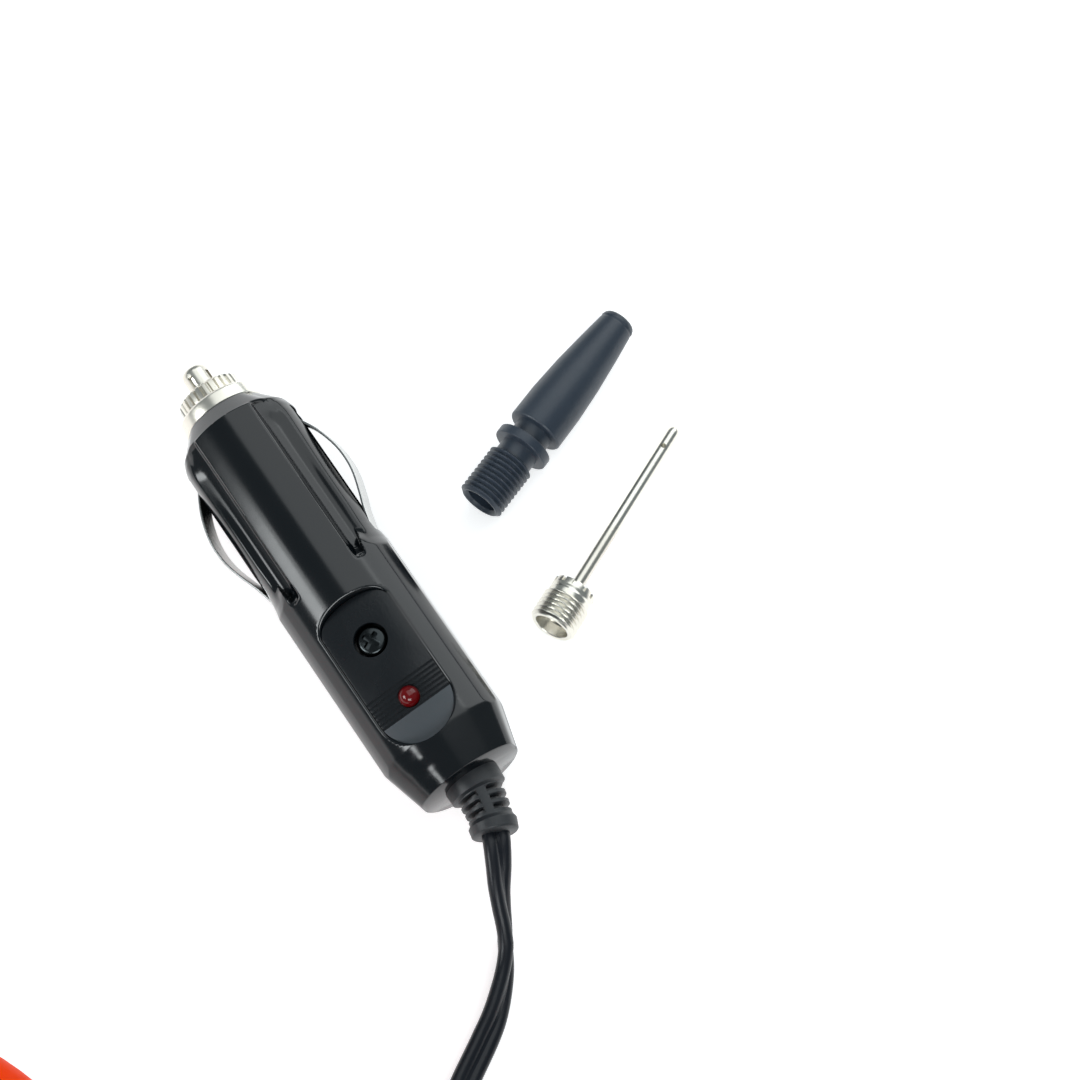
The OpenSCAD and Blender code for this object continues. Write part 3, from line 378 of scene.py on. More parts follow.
def fill(node: bpy.types.Node, inputs: dict[str | int, object]) -> bpy.types.Node:
    """Sets the inputs of a shader node.

    Args:
        node: The node.
        inputs: What each input is set to, or the output that it is linked to.

    Returns:
        The same node.
    """
    for socket, value in inputs.items():
        if isinstance(value, bpy.types.NodeSocket):
            node.id_data.links.new(value, node.inputs[socket])
        else:
            node.inputs[socket].default_value = value
    return node


def add_node(tree: bpy.types.NodeTree, kind: str, inputs: dict[str | int, object]) -> bpy.types.Node:
    """Adds a shader node of a kind, with its inputs filled, and returns it."""
    return fill(tree.nodes.new("ShaderNode" + kind), inputs)


@dataclass(frozen=True)
class Finish:
    """A procedural finish: its colour, gloss and fine surface.

    Attributes:
        name: The material's name.
        colour: Base colour, linear.
        roughness: Middle of its roughness.
        metallic: 1 for metal, else 0.
        second: Colour of its faint mottling; the base colour if left out.
        mottle: Noise scale of the mottling, per metre.
        spread: How far the roughness swings to each side.
        grain: Noise scale of the bump, per metre.
        relief: Strength of the bump.
        stretch: How much the bump is drawn out along each axis.
        coat: Weight of a clear coat.
        ior: Index of refraction.
        clear: Transmission, from 0 to 1.
        specular: Strength of its plain reflection; 0.5 follows the index of refraction.
    """

    name: str
    colour: Point
    roughness: float = 0.4
    metallic: float = 0.0
    second: Point | None = None
    mottle: float = 60.0
    spread: float = 0.05
    grain: float = 900.0
    relief: float = 0.1
    stretch: Point = (1.0, 1.0, 1.0)
    coat: float = 0.0
    ior: float = 1.5
    clear: float = 0.0
    specular: float = 0.5

    def material(self) -> bpy.types.Material:
        """Returns the material, made the first time that it is asked for."""
        title = self.name + "_finish"
        known = bpy.data.materials.get(title)
        if known:
            return known
        made = bpy.data.materials.new(title)
        made.use_nodes = True
        tree = made.node_tree
        shader = fill(tree.nodes["Principled BSDF"], {
            "Metallic": self.metallic, "IOR": self.ior, "Coat Weight": self.coat,
            "Coat Roughness": 0.05, "Transmission Weight": self.clear,
            "Specular IOR Level": self.specular, "Base Color": (*self.colour, 1),
        })
        where = add_node(tree, "TexCoord", {}).outputs["Object"]
        self.add_mottling(shader, where)
        self.add_grain(shader, where)
        return made

    def add_mottling(self, shader: bpy.types.Node, where: bpy.types.NodeSocket) -> None:
        """Adds a slow noise that varies the colour and the roughness.

        Args:
            shader: The material's Principled shader.
            where: The coordinates that the noise reads.
        """
        tree = shader.id_data
        noise = add_node(tree, "TexNoise", {"Scale": self.mottle, "Detail": 5, "Vector": where})
        span = add_node(tree, "MapRange", {
            "From Min": 0.3, "From Max": 0.7,
            "To Min": max(0.02, self.roughness - self.spread),
            "To Max": min(1.0, self.roughness + self.spread), "Value": noise.outputs["Fac"],
        })
        fill(shader, {"Roughness": span.outputs["Result"]})
        if self.second:
            ramp = add_node(tree, "ValToRGB", {"Fac": noise.outputs["Fac"]})
            stops = ((self.colour, 0.4), (self.second, 0.65))
            for element, (colour, position) in zip(ramp.color_ramp.elements, stops):
                element.color, element.position = (*colour, 1), position
            fill(shader, {"Base Color": ramp.outputs["Color"]})

    def add_grain(self, shader: bpy.types.Node, where: bpy.types.NodeSocket) -> None:
        """Adds the fine bump.

        Args:
            shader: The material's Principled shader.
            where: The coordinates that the noise reads.
        """
        tree = shader.id_data
        drawn = add_node(tree, "Mapping", {"Scale": self.stretch, "Vector": where}).outputs["Vector"]
        noise = add_node(tree, "TexNoise", {"Scale": self.grain, "Detail": 3, "Vector": drawn})
        bump = add_node(tree, "Bump", {
            "Strength": self.relief, "Distance": 0.2 * MM, "Height": noise.outputs["Fac"],
        })
        fill(shader, {"Normal": bump.outputs["Normal"]})


PLUG_BLACK = Finish(
    "plug_black", (0.002, 0.0035, 0.005), 0.15, spread=0.02, relief=0.015, grain=500, mottle=90
)
PLATE_BLACK = Finish("plate_black", (0.005, 0.007, 0.009), 0.26, specular=0.35, relief=0.1, grain=2500)
# The plate's rear part: a rougher finish, and a lighter grey colour that is painted reflection standing in
# for the brighter light it shows.
PLATE_PAINTED_SHEEN = Finish("plate_painted_sheen", (0.040, 0.050, 0.058), 0.4, relief=0.08, grain=2500)
CONTACT_NICKEL = Finish(
    "bright_nickel", (0.78, 0.76, 0.69), 0.26, metallic=1, second=(0.66, 0.63, 0.56), spread=0.06,
    relief=0.06,
)
SPRING_NICKEL = Finish("spring_nickel", (0.50, 0.50, 0.49), 0.26, metallic=1, spread=0.05, relief=0.06)
LEAD_RUBBER = Finish(
    "lead_rubber", (0.007, 0.009, 0.013), 0.34, specular=0.3, spread=0.06, relief=0.08, grain=1600
)
RELIEF_RUBBER = Finish("relief_rubber", (0.013, 0.016, 0.019), 0.5, spread=0.06, relief=0.12, grain=1800)
ADAPTOR_PLASTIC = Finish(
    "adaptor_plastic", (0.020, 0.030, 0.045), 0.42, second=(0.026, 0.037, 0.052), relief=0.12, grain=1500
)
LAMP_RED = Finish("lamp_red", (0.11, 0.001, 0.002), 0.07, relief=0.02, ior=1.45)
HOUSING_ORANGE = Finish(
    "housing_orange", (1.0, 0.062, 0.003), 0.42, second=(0.97, 0.041, 0.002), specular=0.015,
    relief=0.16, grain=1300, mottle=25,
)
SOFT_RUBBER = Finish(
    "soft_rubber", (0.013, 0.013, 0.014), 0.62, second=(0.02, 0.02, 0.02), relief=0.3, grain=1600
)
PANEL_GREY = Finish(
    "panel_grey", (0.022, 0.024, 0.028), 0.5, second=(0.028, 0.03, 0.034), relief=0.35, grain=2200
)
SWITCH_BLACK = Finish("switch_black", (0.012, 0.012, 0.014), 0.28, relief=0.08, grain=1500)
DIAL_WHITE = Finish("dial_white", (0.86, 0.86, 0.83), 0.5, second=(0.83, 0.82, 0.79), relief=0.04)
POINTER_RED = Finish("pointer_red", (0.6, 0.015, 0.012), 0.35, relief=0.05, coat=0.3)
PRINT_BLACK = Finish("print_black", (0.015, 0.015, 0.015), 0.5, relief=0.02)
LENS = Finish("lens", (0.97, 0.98, 1.0), 0.04, spread=0.01, relief=0.01, clear=1.0, ior=1.3)
MOTOR_STEEL = Finish("motor_steel", (0.5, 0.5, 0.5), 0.34, metallic=1, stretch=(1, 12, 12), relief=0.15)
DARK_SCREW = Finish("dark_screw", (0.035, 0.04, 0.042), 0.2, metallic=1, relief=0.1, grain=1500)
GEAR_PLASTIC = Finish("gear_plastic", (0.7, 0.67, 0.57), 0.42, relief=0.08)
CAST_ALUMINIUM = Finish("cast_aluminium", (0.58, 0.59, 0.6), 0.45, metallic=1, relief=0.5, grain=1400)
BRASS = Finish("brass", (0.75, 0.52, 0.2), 0.25, metallic=1, second=(0.66, 0.44, 0.16), relief=0.08)
HOSE_RUBBER = Finish("hose_rubber", (0.02, 0.02, 0.02), 0.5, relief=0.15)
FUSE_GLASS = Finish("fuse_glass", (0.8, 0.82, 0.8), 0.12, relief=0.02)
BOARD_GREEN = Finish(
    "board_green", (0.02, 0.12, 0.04), 0.35, second=(0.03, 0.15, 0.05), mottle=600, relief=0.1
)
TIE_BLACK = Finish("tie_black", (0.02, 0.02, 0.022), 0.55, relief=0.2, grain=2000)


def settle(piece: Piece, finish: Finish, slot: str, *nodes: str, body: str = "inflator") -> Piece:
    """Dresses a new piece, fastens it to a body and lets it stand for CAD nodes.

    Args:
        piece: The piece.
        finish: Its finish.
        slot: Not used.
        *nodes: The nodes that it stands for.
        body: The body that it moves with.

    Returns:
        The same piece.
    """
    piece.data.materials.clear()
    piece.data.materials.append(finish.material())
    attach(piece, body)
    if nodes:
        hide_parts(*nodes)
    log.info("%s: %d faces, on %s", piece.name, len(piece.data.polygons), body)
    return piece


def dress_nodes(finish: Finish, *nodes: str) -> None:
    """Gives CAD nodes a finish, keeps their meshes and keeps them out of the reflections in the plug.

    Args:
        finish: The finish.
        *nodes: The names of the nodes.
    """
    made = finish.material()
    for node in nodes:
        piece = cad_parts[node]
        if not piece.material_slots:
            piece.data.materials.append(made)
        for slot in piece.material_slots:
            slot.material = made
        # The orange housing would tint the glossy black plug beside it.
        piece.visible_glossy = False
        log.info("%s: %s", node, finish.name)


# Studio


@dataclass
class Studio:
    """The camera, the floor and the soft lights."""

    aim: Point = (123.5, 138.5, 0.0)
    distance: float = 550.0
    elevation: float = 68.5
    focal_px: float = 3520.0
    image_px: float = 1080.0
    sensor: float = 36.0
    floor: float = 6.0
    middle: Point = (0.1, 0.12, 0.02)

    def add_camera(self) -> None:
        """Adds the camera and makes it the scene's own."""
        data = bpy.data.cameras.new("camera")
        data.sensor_fit, data.sensor_width = "HORIZONTAL", self.sensor
        data.lens = self.focal_px / self.image_px * self.sensor
        data.clip_start, data.clip_end = 0.01, 50
        camera = linked("camera", data)
        e = math.radians(self.elevation)
        back = Vector((0, -math.cos(e), math.sin(e))) * self.distance
        camera.location = (Vector(self.aim) + back) * MM
        camera.rotation_euler = (math.pi / 2 - e, 0, 0)
        bpy.context.scene.camera = camera

    def add_floor(self) -> None:
        """Adds the pale floor, which looks white to the camera and keeps the shadows."""
        s = self.floor / 2
        corners = np.array([(-s, -s, 0), (s, -s, 0), (s, s, 0), (-s, s, 0)])
        floor = new_piece("floor", corners, [(0, 1, 2, 3)], False)
        made = bpy.data.materials.new("floor_white")
        made.use_nodes = True
        tree = made.node_tree
        shader = fill(tree.nodes["Principled BSDF"], {
            "Base Color": (0.82, 0.82, 0.82, 1), "Roughness": 0.9, "Specular IOR Level": 0.0,
        })
        rays = add_node(tree, "LightPath", {})
        strength = 0.0
        for ray, share in (("Is Camera Ray", 0.55), ("Is Glossy Ray", 0.65)):
            seen = tree.nodes.new("ShaderNodeMath")
            seen.operation = "MULTIPLY_ADD"
            strength = fill(seen, {0: rays.outputs[ray], 1: share, 2: strength}).outputs[0]
        glow = add_node(tree, "Emission", {"Strength": strength})
        both = add_node(tree, "AddShader", {0: shader.outputs[0], 1: glow.outputs[0]})
        fill(tree.nodes["Material Output"], {"Surface": both.outputs[0]})
        floor.data.materials.append(made)

    def add_lamp(
        self, name: str, where: Point, size: tuple[float, float], power: float,
        target: Point | None = None, turn: float = 0.0,
    ) -> None:
        """Adds a soft rectangular lamp.

        Args:
            name: Its name.
            where: Its place, in metres.
            size: Its width and height, in metres.
            power: Its power, in watts.
            target: The point that it faces, in metres; the middle of the scene if left out.
            turn: Degrees that it is turned about the way it faces.
        """
        data = bpy.data.lights.new(name, "AREA")
        data.shape, data.size, data.size_y, data.energy = "RECTANGLE", size[0], size[1], power
        data.color = (0.95, 0.99, 1.0)
        lamp = linked(name, data)
        lamp.location = where
        facing = (Vector(target or self.middle) - Vector(where)).to_track_quat("-Z", "Y").to_matrix()
        lamp.rotation_euler = (facing @ Matrix.Rotation(math.radians(turn), 3, "Z")).to_euler()

    def add_world(self) -> None:
        """Adds the surroundings: white to the camera, a soft grey room to everything else."""
        world = bpy.data.worlds.new("room")
        bpy.context.scene.world = world
        world.use_nodes = True
        tree = world.node_tree
        room = fill(tree.nodes["Background"], {"Color": (0.82, 0.94, 1.0, 1), "Strength": 0.24})
        white = add_node(tree, "Background", {"Strength": 1.0})
        rays = add_node(tree, "LightPath", {})
        which = add_node(tree, "MixShader", {
            0: rays.outputs["Is Camera Ray"], 1: room.outputs[0], 2: white.outputs[0],
        })
        fill(tree.nodes["World Output"], {"Surface": which.outputs[0]})

    def build(self) -> None:
        """Sets up the camera, the floor, the lights and the view."""
        self.add_camera()
        self.add_floor()
        self.add_world()
        self.add_lamp("left_box", (-0.678, -0.162, 0.56), (0.4, 0.42), 2.0, turn=9.4)
        self.add_lamp("left_core", (-0.673, -0.193, 0.53), (0.4, 0.3), 2.1, turn=9.4)
        self.add_lamp("near_left", (-0.62, -0.62, 0.72), (0.2, 0.13), 0.8)
        self.add_lamp("ceiling", (0.26, 0.92, 1.5), (1.6, 1.8), 12, (0.26, 0.92, 0.0), 33.4)
        self.add_lamp("back", (1.17, 1.61, 1.02), (1.6, 1.5), 14)
        self.add_lamp("front", (0.3, -1.6, 1.3), (1.2, 0.8), 22)
        bpy.context.scene.view_settings.view_transform = "Standard"


# Plug


@dataclass
class Plug:
    """The accessory-socket plug. Its own X runs to the lead, Z to the side with the plate.

    In its methods, u is the place along it, v the place across it and w the height.
    """

    x: float = 74.8
    y: float = 154.35
    z: float = 10.3
    heading: float = -56.6
    roll: float = 13.5
    length: float = 69.9
    front_r: float = 10.0
    grip_from: float = 28.6
    grip_half_w: float = 10.2
    crown_r: float = 12.0
    crown_top: float = 10.0
    end_r: float = 8.3
    taper_from: float = 62.8
    land_half_w: float = 5.2
    hollow_end: float = 33.0
    hollow_floor: float = 5.4
    hollow_wall: float = 6.55
    groove_depth: float = 0.42
    groove_w: float = 2.05
    plate_from: float = 38.3
    plate_to: float = 63.6
    plate_half_w: float = 6.05
    plate_floor: float = 7.6
    plate_top: float = 8.2
    screw_at: float = 45.5
    lamp_at: float = 56.1
    strip_out: float = 12.2
    strip_w: float = 3.8
    strip_t: float = 0.4
    slot_from: float = 4.9
    slot_to: float = 29.7
    slot_floor: float = 5.0
    slot_half_w: float = 2.45
    knurls: int = 28
    points_round: int = 480
    crown_bow: float = 0.0006
    wave_height: float = 0.07
    seam_depth: float = 0.12
    place: Matrix = field(init=False)

    def __post_init__(self) -> None:
        """Works out the plug's place."""
        self.place = place_at(self.x, self.y, self.z, self.heading, 0.0, self.roll)

    def grip_radius(self, angle: Rows) -> Rows:
        """Returns the grip's radius in each direction: flatter above, upright sides, round below."""
        low = self.crown_top - self.crown_r
        up = np.maximum(np.sin(angle), 0)
        crown = low * up + np.sqrt((low * up) ** 2 + self.crown_r**2 - low**2)
        side = self.grip_half_w / np.maximum(np.abs(np.cos(angle)), 0.3)
        k = 3.0  # the higher, the tighter the edge between crown and side
        mid = 9.0  # keeps the exponents small
        both = mid - np.log(np.exp(-k * (crown - mid)) + np.exp(-k * (side - mid))) / k
        return np.where(np.sin(angle) > 0, both, np.minimum(self.grip_half_w, both + 0.1))

    def rings(self) -> Rows:
        """Returns the body's rings of points in the plug's own frame."""
        rim = self.length - 0.12
        stations = np.unique(np.concatenate([
            np.array([0, 0.8, 1.5, 2.2, 2.7, 2.9, 3.0, 3.1, 3.2, 3.3, 3.4, 3.5]),
            np.arange(3.6, 24.6, 0.4), np.arange(24.5, 38.0, 0.2), np.arange(38.0, self.taper_from, 0.6),
            np.arange(self.taper_from - 0.5, self.taper_from + 0.7, 0.1),
            np.arange(self.taper_from + 0.8, self.length - 0.2, 0.5), np.array([rim, self.length]),
        ]).round(3))
        u, a = np.meshgrid(stations, full_turn(self.points_round), indexing="ij")
        last = self.end_r / self.grip_half_w
        fall = (1 - last) / (self.length - self.taper_from)
        past = soft_above(u - self.taper_from, 6)
        shrink = np.minimum(1 - fall * past, np.interp(u, [rim, self.length], [1, last - 0.02]))
        upper_left = ease_step(-np.cos(a), 0.0, 0.4) * ease_step(np.sin(a), 0.3, 0.6)
        wave = np.sin(math.pi * np.clip(u - 64.0, 0, 4) / 2) * upper_left
        grip = self.grip_radius(a) * shrink + self.wave_height * wave
        r0 = self.front_r
        early = np.interp(u, [0, 3.0, 3.3, 4.6], [7.3, 9.7, 9.88, r0])
        late = np.interp(u, [0, 3.2, 4.4, 6.0], [6.8, 9.45, 9.85, r0])
        nose = early + (np.minimum(early, late) - early) * ease_step(np.abs(np.cos(a)), 0.45, 0.85)
        waist = np.interp(u, [24.5, 28.0, 29.0, 30.0, 31.4, 33.0], [r0, 9.9, 9.95, 10.05, 10.25, 10.7])
        front = np.where(u < 7, nose, waist)
        sides = np.where(u < self.grip_from, np.minimum(front, r0), np.minimum(front, grip))
        bowed = grip - self.crown_bow * np.maximum(22 - u, 0) ** 2
        crown = np.minimum(bowed, np.interp(u, [0, 3.0, 3.3, 4.6], [7.3, 9.7, 10.0, 11.5]))
        r = sides + (crown - sides) * ease_step(np.sin(a), 0.6, 0.82)
        v, w = r * np.cos(a), r * np.sin(a)
        w = self.hollowed(u, v, w)
        seam = ease_step(-np.abs(w), -0.16, -0.04) * (np.abs(v) > 7) * self.seam_depth
        v = v * (1 - seam / np.maximum(np.abs(v), 1))
        return np.stack([u, v, w], axis=-1)

    def hollowed(self, u: Rows, v: Rows, w: Rows) -> Rows:
        """Sinks the hollows on both sides of the land, each with a groove that outruns it.

        Args:
            u: Place along the plug.
            v: Place across it.
            w: Height of its surface.

        Returns:
            The height with the hollows.
        """
        side = np.abs(v) - self.land_half_w
        middle = self.groove_w / 2
        begun = ease_step(u, 3.0, 3.7) * (0.6 + 0.4 * ease_step(u, 3.7, 8.0))
        lip = ease_step(side, -0.2, 0.35)
        low = self.hollow_floor - 0.3 * (side - 1.7) * ease_step(-u, -20.0, -6.0)
        floor = low + soft_above(self.hollow_wall - 0.70 * side - low, 7)
        fade = ease_step(-u - 2.6 * ease_step(side, 1.4, 2.1), -34.2, -31.2)
        deep = lip * begun * fade * soft_above(w - floor, 4)
        off = side - middle
        reach = np.where(u > self.hollow_end, np.hypot(u - self.hollow_end, off), np.abs(off))
        groove = self.groove_depth * begun * ease_step(u, 26.0, 30.0)
        groove = groove * ease_step(middle - reach, 0.0, 0.3)
        groove = groove * ease_step(-side, -2.1, -1.0)
        return w - np.maximum(deep, groove) * (w > 0)

    def plate_outline(self, grown: float = 0.0) -> Rows:
        """Returns the face plate's outline, seen from above, grown by a gap."""
        w = self.plate_half_w + grown
        centre = self.plate_to - self.plate_half_w
        half = np.linspace(-math.pi / 2, math.pi / 2, 40)
        rear = [(centre + w * math.cos(t), w * math.sin(t)) for t in half]
        ahead = self.plate_from - grown
        front = [(ahead + 1.5 * (s / w) ** 2 + 1.3 * abs(s / w) ** 9, s) for s in np.linspace(w, -w, 41)]
        return np.array(rear + front)

    def add_body(self) -> None:
        """Adds the body with the recess for its plate, its slots and its bore."""
        body = loft("plug_body", self.rings(), self.place, sharp=50)
        rim = self.plate_outline(0.04)
        count = len(rim)
        rims = [np.column_stack([rim, np.full(count, self.plate_floor)])]
        for rise, gap in ((-0.5, 0.05), (-0.26, 0.12), (-0.1, 0.26), (0.0, 0.46), (1.0, 2.0)):
            rim = self.plate_outline(gap)
            arch = np.sqrt(self.crown_r**2 - np.minimum(rim[:, 1] ** 2, 80))
            rims.append(np.column_stack([rim, self.crown_top - self.crown_r + arch + rise]))
        over_it = np.column_stack([rim, np.full(count, 16.0)])
        recess = loft("recess", np.array([*rims, over_it]), self.place)
        under = self.up_at(self.screw_at, self.plate_floor - 1.4)
        well = lathe("well", [(-1.0, 2.86), (9.0, 2.86)], under, 48)
        back = lathe("back", [(self.length - 3, 3.1), (self.length + 1, 3.1)], self.place, 48)
        mouth = lathe("mouth", [(-1.0, 5.0), (3.0, 5.0), (3.0, 3.6), (42.0, 3.6)], self.place, 64)
        slots = []
        for name, a, b in (("slot_left", -14, -self.slot_floor), ("slot_right", self.slot_floor, 14)):
            low, high = (self.slot_from, a, -self.slot_half_w), (self.slot_to, b, self.slot_half_w)
            slots.append(block(name, low, high, self.place, 0.1))
        cut(body, recess, well, back, mouth, *slots, sharp=42)
        settle(body, PLUG_BLACK, "plug_black", "plug_upper_shell", "plug_lower_shell")

    def up_at(self, u: float, w: float) -> Matrix:
        """Returns a place on the plate's side whose own X axis points outwards."""
        return self.place @ Matrix.Translation((u, 0, w)) @ Matrix.Rotation(-math.pi / 2, 4, "Y")

    def add_plate(self) -> None:
        """Adds the face plate with its screw hole, lines and ribs, and what sits in it."""
        top = self.plate_top
        plate = prism("plug_plate", self.plate_outline(), self.plate_floor, top, self.place, 0.12)
        rim = [(-3, 2.65), (0.05, 2.65), (0.3, 2.82), (3, 2.82)]
        hole = lathe("hole", rim, self.up_at(self.screw_at, top - 0.1), 64)
        lamp = lathe("lamp_hole", [(-3, 1.8), (3, 1.8)], self.up_at(self.lamp_at, top), 48)
        tools = [hole, lamp]
        for k in range(7):
            x = self.lamp_at - 2.7 + 0.75 * k
            tools.append(block("rib_gap", (x, -8, top - 0.22), (x + 0.4, 8, top + 1), self.place, 0.02))
        cut(plate, *tools)
        settle(plate, PLATE_BLACK, "plate_black", "plug_face_plate")
        # Faces behind the lamp take the lighter grey, which is painted reflection.
        plate.data.materials.append(PLATE_PAINTED_SHEEN.material())
        inward = self.place.inverted()
        for face in plate.data.polygons:
            if (inward @ face.center).x > self.lamp_at + 2.2:
                face.material_index = 1
        head = lathe(
            "plug_screw_head",
            eased([(-1.2, 0), (-1.2, 2.35), (-0.15, 2.35), (0.25, 1.9), (0.42, 0.9), (0.45, 0.0)], 0.2),
            self.up_at(self.screw_at, self.plate_floor), 48,
        )
        at = self.place @ Matrix.Translation((self.screw_at, 0, 0))
        at = at @ Matrix.Rotation(math.radians(25), 4, "Z")
        z = self.plate_floor
        slot_a = block("slot_a", (-1.45, -0.42, z - 0.5), (1.45, 0.42, z + 2), at, 0.02)
        slot_b = block("slot_b", (-0.42, -1.45, z - 0.5), (0.42, 1.45, z + 2), at, 0.02)
        cut(head, slot_a, slot_b)
        settle(head, DARK_SCREW, "screw_steel", "plug_screw")
        dome = [(1.55 * math.sin(t), 1.62 * math.cos(t)) for t in np.linspace(0, math.pi / 2 - 0.02, 14)]
        bulb = lathe("plug_lamp_dome", [(-1.0, 1.62), *dome], self.up_at(self.lamp_at, top - 0.1), 48)
        settle(bulb, LAMP_RED, "lamp_red", "plug_lamp")

    def add_nose(self) -> None:
        """Adds the nickel collar, the knurled cap and the tip pin."""
        collar = lathe("plug_ring", eased([
            (3.6, 4.0), (3.6, 4.85), (0.05, 4.85), (0.05, 6.35), (-0.35, 6.8), (-2.3, 6.8),
            (-2.7, 6.4), (-2.7, 4.0), (3.6, 4.0),
        ], 0.16), self.place)
        settle(collar, CONTACT_NICKEL, "nickel", "plug_collar")
        angle = full_turn(self.knurls * 12)
        notch = ease_step(np.abs(((angle * self.knurls / (2 * math.pi)) % 1) - 0.5), 0.26, 0.4) * 0.42
        outline = eased([
            (-2.76, 3.5), (-2.76, 5.1), (-3.1, 5.25), (-3.3, 5.25), (-5.2, 5.2), (-5.5, 4.85), (-5.5, 2.45),
            (-4.6, 2.45), (-4.6, 3.5), (-2.76, 3.5),
        ], 0.08, 2)
        rings = []
        for x, r in outline:
            out = r - notch * float(r > 4.6 and x < -3.05)
            ring = [np.full(len(angle), x), out * np.cos(angle), out * np.sin(angle)]
            rings.append(np.column_stack(ring))
        cap = loft("plug_cap", np.array(rings), self.place, Ends.OPEN, 30)
        settle(cap, CONTACT_NICKEL, "nickel", "plug_fuse_cap", body="fuse_cap")
        pin = lathe("plug_pin", eased([
            (0.98, 0), (0.98, 2.9), (-3.35, 2.9), (-3.35, 3.1), (-4.28, 3.1), (-4.28, 2.15),
            (-9.4, 2.15), (-10.0, 1.85), (-10.25, 1.2), (-10.25, 0.0),
        ], 0.25), self.place, 72)
        grooves = []
        for k in range(4):
            at = self.place @ Matrix.Rotation(math.radians(90 * k + 20), 4, "X")
            grooves.append(block("groove", (-8.6, 1.55, -0.42), (-5.6, 3.2, 0.42), at, 0.05))
        cut(pin, *grooves)
        settle(pin, CONTACT_NICKEL, "nickel", "plug_tip_pin", body="tip_pin")

    def add_contact(self, side: Side) -> None:
        """Adds one bowed spring contact.

        Args:
            side: The side of the plug that it is on.
        """
        u, bow = np.array([
            (5.3, -4.12), (6.5, -3.4), (8.6, -2.25), (10.6, -1.3), (12.6, -0.65), (14.7, -0.18),
            (16.8, 0), (19, -0.12), (21, -0.52), (23.4, -1.25), (25.6, -2.0), (28, -2.6), (29, -2.8),
        ]).T
        right = float(side is Side.RIGHT)
        path = np.column_stack([u + 0.4 - 0.6 * right, side.value * (self.strip_out + bow), 0 * u])
        path = rounded_path(path, 0.5)
        h, t, c = self.strip_w / 2, self.strip_t / 2, 0.1
        section = np.array([
            (-t, -h + c), (-t + c, -h), (t - c, -h), (t, -h + c),
            (t, h - c), (t - c, h), (-t + c, h), (-t, h - c),
        ])
        lean = np.full(len(path), -10.0 + 6.0 * right)
        strip = swept(f"plug_strip_{side.name.lower()}", path, section, lean, self.place)
        name = f"contact_{side.name.lower()}"
        settle(strip, SPRING_NICKEL, "nickel", f"plug_{name}", body=name)

    def build(self) -> None:
        """Builds the plug's shown pieces and dresses what lies inside."""
        self.add_body()
        self.add_plate()
        self.add_nose()
        for side in Side:
            self.add_contact(side)
        dress_nodes(FUSE_GLASS, "plug_fuse")
        dress_nodes(MOTOR_STEEL, "plug_spring")
        dress_nodes(BOARD_GREEN, "plug_circuit_board")


# Lead


